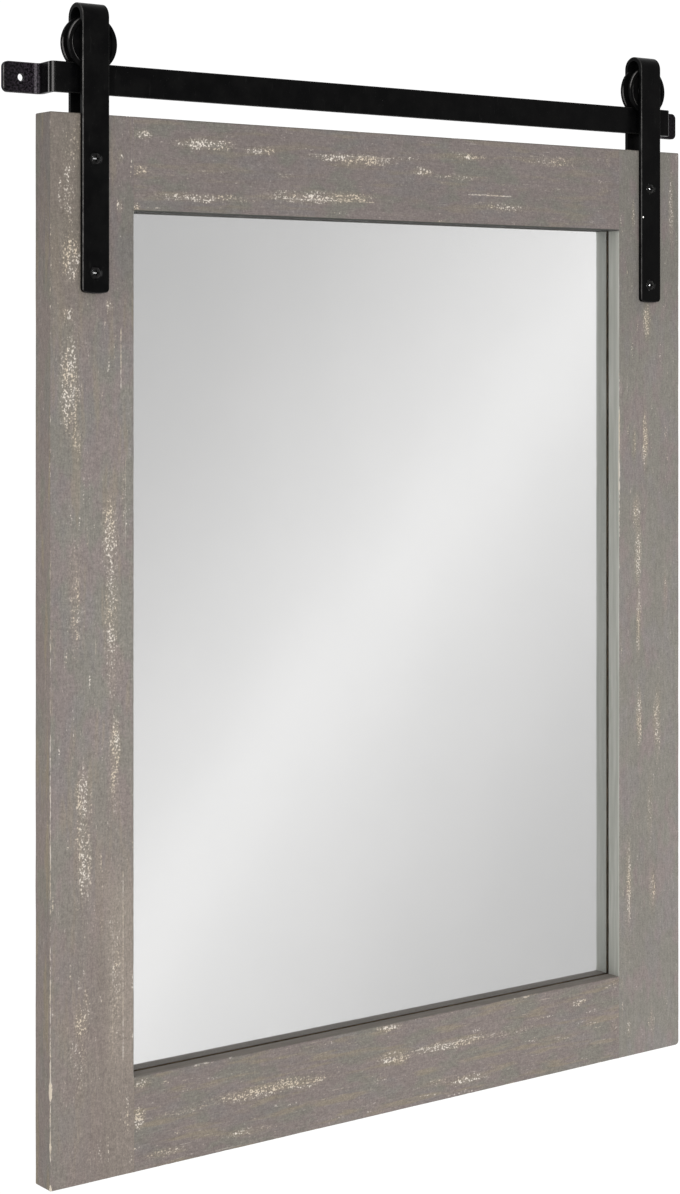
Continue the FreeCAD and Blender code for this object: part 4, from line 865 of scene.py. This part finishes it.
def make_rail(name, node, side, seed, worn, mats, marks, lines):
    """Cross member. Local z from the outer edge (0) to the opening (RW)."""
    length = W - 2 * SW
    cuts = [c for _, _, cu, hw, _ in lines for c in (cu - 1.5 * hw, cu - 0.5 * hw, cu + 0.5 * hw, cu + 1.5 * hw)]
    zs = spaced(0, RW, 2.0, marks=(RW - REB_W, *cuts))
    ys = spaced(0, TH, 1.6, marks=(LIP - 1.3, LIP - 0.8, LIP - 0.45, LIP - 0.2, LIP))
    xs = spaced(0, length, 1.35)
    cx, cy, cz = (xs[1:] + xs[:-1]) / 2, (ys[1:] + ys[:-1]) / 2, (zs[1:] + zs[:-1]) / 2
    X, Y, Z = np.meshgrid(cx, cy, cz, indexing="ij")
    filled = ~((Z > RW - REB_W) & (Y > LIP))
    V, quads, normals = cell_surface(xs, ys, zs, filled)
    base = V.copy()
    t = base[:, 0]
    n = len(V)
    one = np.ones(n)
    wear = np.zeros(n)
    chip = np.zeros(n)
    ends = np.clip(np.minimum(t, length - t) / 3.0, 0, 1)
    cf = chip_field(t, chip_list(seed + 5, 20, length - 20, 3, (2.0, 5.0)), seed) * (0.15 if side > 0 else 0.45)
    r = np.clip(0.65 + 0.25 * wobble(t, 24, seed) + 0.12 * wobble(t, 4, seed + 3), 0.3, 1.2) * (0.45 + 0.55 * ends) + cf
    nr = round_arris(V, base, 2, 0.0, 1, 1, 0.0, 1, one > 0, r, r)
    wear = np.maximum(wear, nr * np.clip(worn + 0.35 * wobble(t, 17, seed + 7) + 0.25 * wobble(t, 3.4, seed + 8), 0, 1))
    chip = np.maximum(chip, nr * np.clip(cf * 1.3, 0, 1))
    r2 = np.clip(0.7 + 0.25 * wobble(t, 30, seed + 20), 0.4, 1.2) * (0.5 + 0.5 * ends)
    nr = round_arris(V, base, 2, 0.0, 1, 1, TH, -1, one > 0, r2, r2)
    # opening arris
    r3 = (0.10 + ends * np.clip(1.02 + 0.20 * wobble(t, 20, seed + 30) + 0.12 * wobble(t, 3.5, seed + 31), 0.6, 1.45))
    nr = round_arris(V, base, 2, RW, -1, 1, 0.0, 1, one > 0, r3, r3)
    wear = np.maximum(wear, nr * np.clip((0.52 if side > 0 else 0.30) + 0.40 * wobble(t, 22, seed + 33) + 0.2 * wobble(t, 4, seed + 34), 0, 1))
    # butt joints: a hair of softening so the joint line reads
    for px, sx in ((0.0, 1), (length, -1)):
        rj = one * 0.10
        round_arris(V, base, 0, px, sx, 1, 0.0, 1, one > 0, rj, rj)
    r6 = ends * np.clip(0.42 + 0.16 * wobble(t, 16, seed + 50) + 0.08 * wobble(t, 4, seed + 51), 0.2, 0.75)
    round_arris(V, base, 2, RW, -1, 1, LIP, -1, one > 0, r6, r6)
    # painted shade, with some dirt, where the lip meets the glass
    grime_and_shade = np.where(np.abs(base[:, 2] - RW) < 1e-6, np.clip(1 - (LIP - base[:, 1]) / 0.45, 0, 1), 0.0) * 0.8
    if side > 0:
        wear[base[:, 2] > RW - 1.05] = 0.0
        top_line = np.clip(1.25 - np.hypot(base[:, 2], base[:, 1]) / 0.9, 0, 1)
        grime_and_shade = np.maximum(grime_and_shade, top_line * np.clip(0.62 + 0.35 * wobble(t, 17, seed + 58), 0, 1))
    fr = np.abs(base[:, 1]) < 1e-6
    dip = 0.05 + 0.05 * wobble(base[:, 0], 44, seed + 60) * wobble(base[:, 2] + 40, 19, seed + 61)
    fade = np.clip((RW - base[:, 2]) / 4.0, 0, 1) * np.clip(base[:, 2] / 4.0, 0, 1) * ends
    V[fr, 1] += (np.clip(dip, 0, 0.12) * fade)[fr]
    over = np.where(np.abs(base[:, 1] - TH) < 1e-6, np.clip(1.15 - base[:, 2] / 9.0, 0, 1), 0.0)
    cent = base[quads].mean(1)
    index = np.zeros(len(quads), int)
    index[(normals == 4) & (cent[:, 1] < LIP)] = 1
    index[(normals == 5) & (cent[:, 2] < 0.01)] = 4
    index[(normals == 2) | (normals == 0) | (normals == 1)] = 2
    index[(normals == 2) & (cent[:, 1] < TH - 0.1)] = 5
    index[(normals == 4) & (cent[:, 1] > LIP)] = 3
    if side > 0:    # the top rail's eased arris takes the underside's dark paint: painted shade
        index[(normals == 3) & (cent[:, 2] > RW - 1.00)] = 1
    else:           # the bottom rail's is painted
        index[(normals == 4) & (cent[:, 1] < 0.70)] = 0
    if side > 0:      # top: outer edge is up
        V[:, 2] = RW - V[:, 2]
        quads = quads[:, ::-1]
        place = (-length / 2, FRONT, BOTTOM + HT - RW)
    else:
        place = (-length / 2, FRONT, BOTTOM)
    rub = rub_field(base[:, 0], base[:, 2], marks, seed) * fr
    line = line_field(base[:, 0], base[:, 2], lines, seed) * fr
    return build_member(name, node, 0, place, V, base, quads, normals, wear, chip, grime_and_shade, over, (mats, index), rub, line)


paint_left = paint("paint_left_stile", "Z", tone=0.975, warm=0.05, seed=1.0, patches=0.8, cast=0.45,
                   painted_shade_grade=((-190.0, -115.0, 1.0, 0.81), (-265.0, -170.0, 1.0, 0.955), (-420.0, -300.0, 1.03, 1.0), (-650.0, -560.0, 0.965, 1.0), (-700.0, -640.0, 0.96, 1.0)),
                   across=(-265.0, -230.0, 0.98, 1.022), brown=((-200.0, -110.0, -238.0, -258.0, 0.66, (147, 138, 127)), (-400.0, -600.0, -300.0, -240.0, 0.80, (140, 129, 122)),
                          (-505.0, -535.0, -239.5, -234.5, 0.60, (154, 145, 135)), (-632.0, -660.0, -246.0, -238.0, 0.75, (136, 127, 120))))
paint_right = paint("paint_right_stile", "Z", tone=0.99, warm=-0.45, seed=2.0, patches=0.7, cast=0.80,
                    painted_shade_grade=((-330.0, -90.0, 1.0, 0.925), (-190.0, -110.0, 1.0, 0.89), (-345.0, -300.0, 1.045, 1.0), (-560.0, -400.0, 0.985, 1.0)))
# the top rail's low tone is painted shade: the top of the frame reads darker
paint_top = paint("paint_top_rail", "X", tone=0.785, warm=0.0, seed=3.0, patches=0.7, cast=0.15)
paint_bottom = paint("paint_bottom_rail", "X", tone=0.885, warm=0.35, seed=4.0, patches=0.8, cast=0.30,
                     painted_shade_grade=((-120.0, -20.0, 0.955, 1.0), (-20.0, 120.0, 1.0, 1.025)), tint=(1.01, 1.0, 0.985))
# the outer sides are a darker copy of the same paint: painted shade, the upright one also graded along its length
side_z = paint("paint_outer_upright_shaded", "Z", tone=0.785, warm=0.45, seed=5.0, patches=0.35, cast=0.2,
               painted_shade_grade=((-270.0, -60.0, 1.10, 0.83), (-700.0, -500.0, 0.925, 1.0)), tint=(1.03, 0.995, 0.94))
side_x = paint("paint_outer_across_shaded", "X", tone=0.80, warm=-0.2, seed=6.0, patches=0.35)
# the reveals are lit and shaded copies of one paint: the right one lighter (painted light), the top one very dark and
# the bottom one darker (painted shade on faces turned down and up), the left one a little darker
rev_l = reveal_paint("reveal_left", "Z", 1.0, tone=0.85)
rev_r = reveal_paint("reveal_right_painted_light", "Z", 4.0, tone=1.45)
rev_x, rev_b = reveal_paint("reveal_top_painted_shade", "X", 2.0, tone=0.17), reveal_paint("reveal_bottom_painted_shade", "X", 3.0, tone=0.56, tint=(1.10, 0.985, 0.955))
raw_z, raw_x = raw_timber("timber_upright", "Z", 1.0), raw_timber("timber_across", "X", 2.0)

rebate = rebate_stain("rebate_stain")
lip_back = rebate_stain("lip_back_timber", srgb(150, 126, 98), srgb(176, 152, 122))

LEFT_CHIPS = [(64.0, 7.5, 0.85), (47.0, 6.5, 0.40), (28.5, 4.0, 0.50), (1.0, 4.0, 0.60),
              (88.0, 9.0, 0.30), (120.0, 7.0, 0.30), (255.0, 4.0, 0.25), (410.0, 3.0, 0.25), (560.0, 5.0, 0.2)]

# rubbed zones, in mm on each member's front: along, across from the outer edge,
# half length, half width, strength
LEFT_RUB = [(84, 22, 28, 9, 0.50), (102, 23, 14, 6.5, 0.74), (118, 27, 9, 3, 0.55), (60, 22, 14, 7, 0.35), (206, 25, 28, 6, 0.80), (250, 24, 15, 5, 1.0), (222, 24, 50, 6, 0.6),
            (280, 49, 19, 4, 1.0), (256, 47, 22, 4, 0.6), (126, 49, 52, 6, 0.52), (370, 46, 72, 6, 0.62), (418, 44, 24, 6, 0.92),
            (378, 18, 42, 6, 0.55), (514, 15, 34, 7, 0.95), (560, 12, 6, 5, 0.8), (597, 15, 16, 7, 1.0), (640, 14, 40, 6, 0.55), (672, 20, 14, 9, 0.45),
            (34, 58, 10, 3, 0.7), (480, 20, 14, 5, 0.6), (566, 44, 5, 3, 0.6), (631, 52, 4, 2.5, 0.9), (664, 52, 5, 2.5, 0.7), (440, 55, 34, 3, 0.35),
            (60, 10, 12, 5, 0.35), (335, 53, 18, 3, 0.4), (18, 36, 10, 6, 0.30)]
LEFT_LINES = [(72, 200, 54.6, 0.55, 0.58), (78, 172, 46.8, 0.50, 0.50), (512, 552, 53.0, 0.45, 0.8), (338, 352, 34.0, 0.4, 0.6), (404, 470, 56.5, 0.35, 0.55)]
RIGHT_RUB = [(124, 28, 17, 4, 0.8), (183, 31, 33, 3.5, 0.50), (252, 23, 27, 4, 0.8), (258, 42, 22, 2.8, 1.0), (330, 43, 26, 2.6, 0.8), (382, 43, 24, 3.2, 1.0),
             (413, 45, 14, 4.5, 0.75), (468, 36, 23, 2.8, 1.0), (466, 47, 16, 2.0, 0.7), (560, 34, 15, 4, 0.95), (132, 53, 32, 2.6, 0.9), (120, 54, 52, 5, 0.40),
             (352, 14, 18, 2.0, 0.6), (648, 8, 30, 2.6, 0.80), (21, 53, 7, 2.5, 0.6), (22, 28, 12, 3.5, 0.4), (640, 48, 12, 2, 0.7), (56, 60, 5, 2, 0.5)]
RIGHT_LINES = [(306, 356, 42.4, 0.4, 0.8), (240, 262, 41.0, 0.4, 0.8), (430, 520, 61.0, 0.4, 0.5), (100, 160, 52.2, 0.4, 0.7)]
TOP_RUB = [(56, 15.5, 23, 4.0, 1.0), (67, 15, 9, 3.4, 1.0), (101, 18, 14, 2.8, 0.85), (178, 19.5, 36, 3.0, 0.95), (196, 21, 20, 2.2, 0.8), (242, 26, 9, 3.2, 0.9), (284, 13, 22, 3, 0.70),
           (225, 17, 26, 2.5, 0.45), (52, 51, 46, 3, 0.72), (150, 47, 46, 4.2, 0.85), (178, 46, 20, 3, 1.0), (320, 48, 32, 3.2, 0.64), (365, 12, 36, 4.2, 0.58),
           (421, 9, 3, 4.5, 0.50), (7, 11, 7, 3, 0.9), (5, 35, 6, 3, 0.85), (2, 58, 3, 3, 0.8), (372, 33, 22, 2, 0.35), (62, 34, 30, 2, 0.35), (120, 33, 8, 2, 0.5),
           (275, 28, 26, 2.6, 0.55), (418, 33, 7, 3, 0.55)]
TOP_LINES = [(284, 326, 40.0, 0.5, 1.0), (118, 200, 49.0, 0.4, 0.7), (140, 215, 17.6, 0.4, 0.6), (20, 70, 52.6, 0.4, 0.5)]
BOTTOM_RUB = [(108, 35, 46, 4.2, 0.95), (140, 34, 16, 4, 0.8), (34, 33, 26, 3, 0.45), (216, 37, 14, 4, 1.0), (268, 39, 38, 3.2, 0.95), (325, 38, 26, 3, 0.5),
              (6, 57, 7, 4, 0.85), (4, 34, 5, 7, 1.0), (24, 9, 18, 3, 0.7), (86, 10, 26, 3, 0.55), (284, 11, 22, 3, 0.85), (255, 14, 18, 3, 0.55),
              (211, 59, 11, 2.5, 0.95), (392, 49, 9, 2.2, 0.9), (404, 31, 8, 2, 0.6), (429, 57, 4, 3, 0.6), (428, 24, 5, 5, 0.5), (150, 57, 22, 2, 0.35)]
BOTTOM_LINES = [(230, 300, 39.4, 0.4, 0.75), (60, 100, 37.0, 0.4, 0.5), (340, 400, 55.0, 0.35, 0.45)]


def worn_left(t):
    return np.clip(0.30 + 0.42 * np.clip((430.0 - t) / 140.0, 0, 1) + 0.06 * np.clip((130 - t) / 80.0, 0, 1) - 0.45 * np.clip((24 - t) / 8.0, 0, 1), 0, 1)


def worn_right(t):
    return 0.22 + 0.0 * t


make_stile("left_stile_wood", "left_stile", -1, 1.0, LEFT_CHIPS, worn_left, (paint_left, rev_l, raw_z, rebate, side_z, lip_back), LEFT_RUB, LEFT_LINES)
make_stile("right_stile_wood", "right_stile", 1, 2.0, [(c, ln, 0.22) for c, ln, _ in chip_list(22, 10, 680, 4, (2.0, 5.0))], worn_right, (paint_right, rev_r, raw_z, rebate, side_z, lip_back), RIGHT_RUB, RIGHT_LINES)
make_rail("top_rail_wood", "top_rail", 1, 3.0, 0.20, (paint_top, rev_x, raw_x, rebate, side_x, lip_back), TOP_RUB, TOP_LINES)
make_rail("bottom_rail_wood", "bottom_rail", -1, 4.0, 0.26, (paint_bottom, rev_b, raw_x, rebate, side_x, lip_back), BOTTOM_RUB, BOTTOM_LINES)


# ------------------------------------------------------------------ mirror plate: clear glass with silvering behind
def plate(name, lo, hi, bevel, mat, node=None, seg=3):
    """A flat plate with ground edges."""
    import bmesh
    bm = bmesh.new()
    bmesh.ops.create_cube(bm, size=1.0)
    for v in bm.verts:
        v.co = Vector([(lo[i] + hi[i]) / 2 + v.co[i] * (hi[i] - lo[i]) for i in range(3)]) * MM
    bmesh.ops.bevel(bm, geom=list(bm.edges), offset=bevel * MM, segments=seg, profile=0.5, affect="EDGES")
    me = bpy.data.meshes.new(name)
    bm.to_mesh(me)
    bm.free()
    me.materials.append(mat)
    ob = bpy.data.objects.new(name, me)
    scene.collection.objects.link(ob)
    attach(ob, "mirror")
    return ob


PW, PH = 447.0, 580.0
PZ = BOTTOM + RW - REB_W + 1.0
GY = FRONT + LIP                      # glass front
glass = plate("mirror_glass_plate", (-PW / 2, GY + 0.02, PZ), (PW / 2, GY + 2.00, PZ + PH), 0.35, clear_glass("clear_glass"))
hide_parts("mirror_glass")
silvering = plate("mirror_silvering", (-PW / 2 + 0.3, GY + 2.02, PZ + 0.3), (PW / 2 - 0.3, GY + 2.98, PZ + PH - 0.3), 0.12, silver("silvering"), seg=1)
silvering.data.materials.append(mirror_backing_paint("mirror_backing_paint"))
for poly in silvering.data.polygons:
    if poly.normal.y > 0.5:
        poly.material_index = 1


def dress(node, mat):
    me = nodes[node].data
    me.materials.clear()
    me.materials.append(mat)


SX = 247.1
dress("rail_bar", black_coat("bar_coat", worn=bar_arris_highlight, rough=0.29, tabs=True))
dress("left_hanger_strap", black_coat("left_strap_coat", worn=strap_arris_highlight(-SX)))
dress("right_hanger_strap", black_coat("right_strap_coat", worn=strap_arris_highlight(SX, 0.75), spot=(238.9, -30.0, -74.1)))
for side, sx in (("left", -SX), ("right", SX)):
    dress(side + "_wheel", turned_black(side + "_wheel_coat", (sx, -20.8, 22.7)))
    dress(side + "_axle", black_coat(side + "_axle_coat"))
    dress(side + "_wheel_bush", bronze(side + "_bush_bronze"))
    dress(side + "_axle_washers", nylon(side + "_washer_nylon"))
    dress(side + "_strap_screws", screw_black(side + "_strap_screw_black", sx))
dress("corner_dowels", beech("dowel_beech"))
dress("backing_board", hardboard("backing_hardboard"))
dress("backing_clips", zinc("clip_zinc"))
dress("clip_screws", screw_metal("clip_screw_zinc", (0.42, 0.41, 0.36), 1.0, 0.30, lift=0.9))
dress("wall_bumpers", rubber("bumper_rubber"))


# ------------------------------------------------------------------ floor, light, camera
def floor():
    import bmesh
    me = bpy.data.meshes.new("floor")
    bm = bmesh.new()
    bmesh.ops.create_grid(bm, x_segments=8, y_segments=8, size=6.0)
    bm.to_mesh(me)
    bm.free()
    ob = bpy.data.objects.new("floor", me)
    ob.location = (0.0, 0.0, -1.75)
    scene.collection.objects.link(ob)
    t = Tree("floor_pale")
    p = t.obj()
    n = t.noise(p, scale=1.2, detail=3.0)
    base = t.mix(t.step(n, 0.3, 0.7), (0.90, 0.90, 0.90), (0.93, 0.93, 0.93))
    t.set(base=base, rough=0.8, spec=0.2)
    r = t.vmath("LENGTH", t.vmath("MULTIPLY", p, (1.0, 1.0, 0.0)))
    t.set(alpha=t.step(r, 0.9, 2.5, 1.0, 0.0))
    me.materials.append(t.mat)
    ob.visible_glossy = False
    return ob


floor()

# camera: solved from the frame's corners and edges; level, looking 36.9 degrees to the right
PX_F, PX_CX, PX_CY = 2464.97, 341.22, 351.1
cam_data = bpy.data.cameras.new("camera")
cam = bpy.data.objects.new("camera", cam_data)
scene.collection.objects.link(cam)
yaw = math.radians(36.8957)
cam.location = (-1.07537, -1.39660, -0.17645)
cam.rotation_mode = "XYZ"
cam.rotation_euler = (math.radians(90.0), 0.0, -yaw)
cam_data.sensor_fit = "AUTO"
cam_data.sensor_width = 36.0
cam_data.lens = PX_F * 36.0 / 1194.0
cam_data.shift_x = (340.0 - PX_CX) / 1194.0
cam_data.shift_y = (PX_CY - 597.0) / 1194.0
cam_data.clip_start = 0.05
cam_data.clip_end = 60.0
scene.camera = cam


def sky():
    """A white studio behind the object; in front, soft grey walls with pale bands,
    which is what the mirror shows."""
    world = bpy.data.worlds.new("studio")
    scene.world = world
    world.use_nodes = True
    nt = world.node_tree
    nt.nodes.clear()

    def node(kind, **props):
        n = nt.nodes.new(kind)
        for k, v in props.items():
            setattr(n, k, v)
        return n

    def m(op, a, b=None, clamp=False):
        n = node("ShaderNodeMath", operation=op, use_clamp=clamp)
        for s, v in zip(n.inputs, (a, b)):
            if isinstance(v, bpy.types.NodeSocket):
                nt.links.new(v, s)
            elif v is not None:
                s.default_value = v
        return n.outputs[0]

    def gauss(v, centre, width, height):
        u = m("DIVIDE", m("SUBTRACT", v, centre), width)
        return m("MULTIPLY", m("EXPONENT", m("MULTIPLY", m("MULTIPLY", u, u), -1.0)), height)

    out = node("ShaderNodeOutputWorld")
    bg = node("ShaderNodeBackground")
    nt.links.new(bg.outputs[0], out.inputs[0])
    tc = node("ShaderNodeTexCoord")
    sp = node("ShaderNodeSeparateXYZ")
    nt.links.new(tc.outputs["Generated"], sp.inputs[0])
    dx, dy, dz = sp.outputs
    s, c = math.sin(yaw), math.cos(yaw)
    along = m("SUBTRACT", m("MULTIPLY", dx, s), m("MULTIPLY", dy, c))
    across = m("ADD", m("MULTIPLY", dx, c), m("MULTIPLY", dy, s))
    alpha = m("ARCTAN2", across, along)
    beta = m("ARCSINE", dz)
    d = m("ADD", m("SUBTRACT", m("MULTIPLY", alpha, 1994.2), m("MULTIPLY", beta, 1448.9)), -178.6)
    level = m("ADD", 0.590, gauss(d, 0.0, 60.0, 0.071))
    level = m("ADD", level, gauss(d, 0.0, 260.0, 0.364))
    level = m("ADD", level, gauss(d, -1650.0, 420.0, 0.36))
    level = m("ADD", level, gauss(d, -3300.0, 620.0, 0.30))
    level = m("ADD", level, gauss(d, 1650.0, 520.0, 0.34))
    level = m("ADD", level, gauss(d, 3400.0, 700.0, 0.28))
    # behind the object the room is plain white
    white = node("ShaderNodeMapRange", interpolation_type="SMOOTHSTEP")
    nt.links.new(dy, white.inputs["Value"])
    white.inputs["From Min"].default_value = -0.12
    white.inputs["From Max"].default_value = 0.16
    mixed = m("ADD", m("MULTIPLY", level, m("SUBTRACT", 1.0, white.outputs[0])), m("MULTIPLY", white.outputs[0], 1.06))
    nt.links.new(mixed, bg.inputs["Strength"])
    tint = node("ShaderNodeMix", data_type="RGBA")
    nt.links.new(white.outputs[0], tint.inputs[0])
    tint.inputs[6].default_value = (1.022, 1.000, 0.984, 1.0)
    tint.inputs[7].default_value = (1.0, 1.0, 1.0, 1.0)
    nt.links.new(tint.outputs[2], bg.inputs["Color"])


sky()


def softbox(name, loc, aim, size, power, tint=(1.0, 1.0, 1.0), glossy=True):
    la = bpy.data.lights.new(name, "AREA")
    la.shape = "RECTANGLE"
    la.size, la.size_y = size
    la.energy = power
    la.color = tint
    ob = bpy.data.objects.new(name, la)
    ob.location = loc
    d = Vector(aim) - Vector(loc)
    ob.rotation_mode = "QUATERNION"
    ob.rotation_quaternion = d.to_track_quat("-Z", "Y")
    ob.visible_camera = False
    ob.visible_glossy = glossy
    scene.collection.objects.link(ob)
    return ob


softbox("fill_front", (0.3, -3.4, -0.7), (0.0, 0.0, -0.45), (2.6, 2.2), 26.0, glossy=False)
softbox("key_front", (-1.3, -3.2, 0.2), (0.0, 0.0, -0.4), (1.2, 1.2), 14.0, glossy=False)

# narrow strips that only the black hardware sees: the thin lines on its arrises
hardware = bpy.data.collections.new("hardware_only")
for label in ("rail_bar", "left_hanger_strap", "right_hanger_strap", "left_wheel", "right_wheel", "left_axle", "right_axle",
              "left_strap_screws", "right_strap_screws"):
    hardware.objects.link(nodes[label])


def strip(name, azimuth, z, size, power, dist=2.6):
    """azimuth: degrees to the left of straight ahead of the front face."""
    a = math.radians(azimuth)
    ob = softbox(name, (-dist * math.sin(a), -dist * math.cos(a), z), (0.0, -0.02, -0.05), size, power)
    ob.light_linking.receiver_collection = hardware
    return ob


strip("strip_a", 52.0, 0.2, (0.14, 2.2), 90.0)
strip("strip_b", 14.0, 0.3, (0.07, 1.8), 26.0)
strip("strip_top", 34.0, 2.4, (0.9, 0.5), 30.0)
# a small box for each strap's screws alone: one dot on each head
for side, loc, power in (("left", (1.08, -2.25, 0.05), 46.0), ("right", (2.03, -1.92, 0.03), 150.0)):
    only = bpy.data.collections.new(side + "_screws_only")
    only.objects.link(nodes[side + "_strap_screws"])
    dot = softbox(side + "_screw_dot", loc, (0.0, -0.03, -0.09), (0.46, 0.50), power)
    dot.light_linking.receiver_collection = only
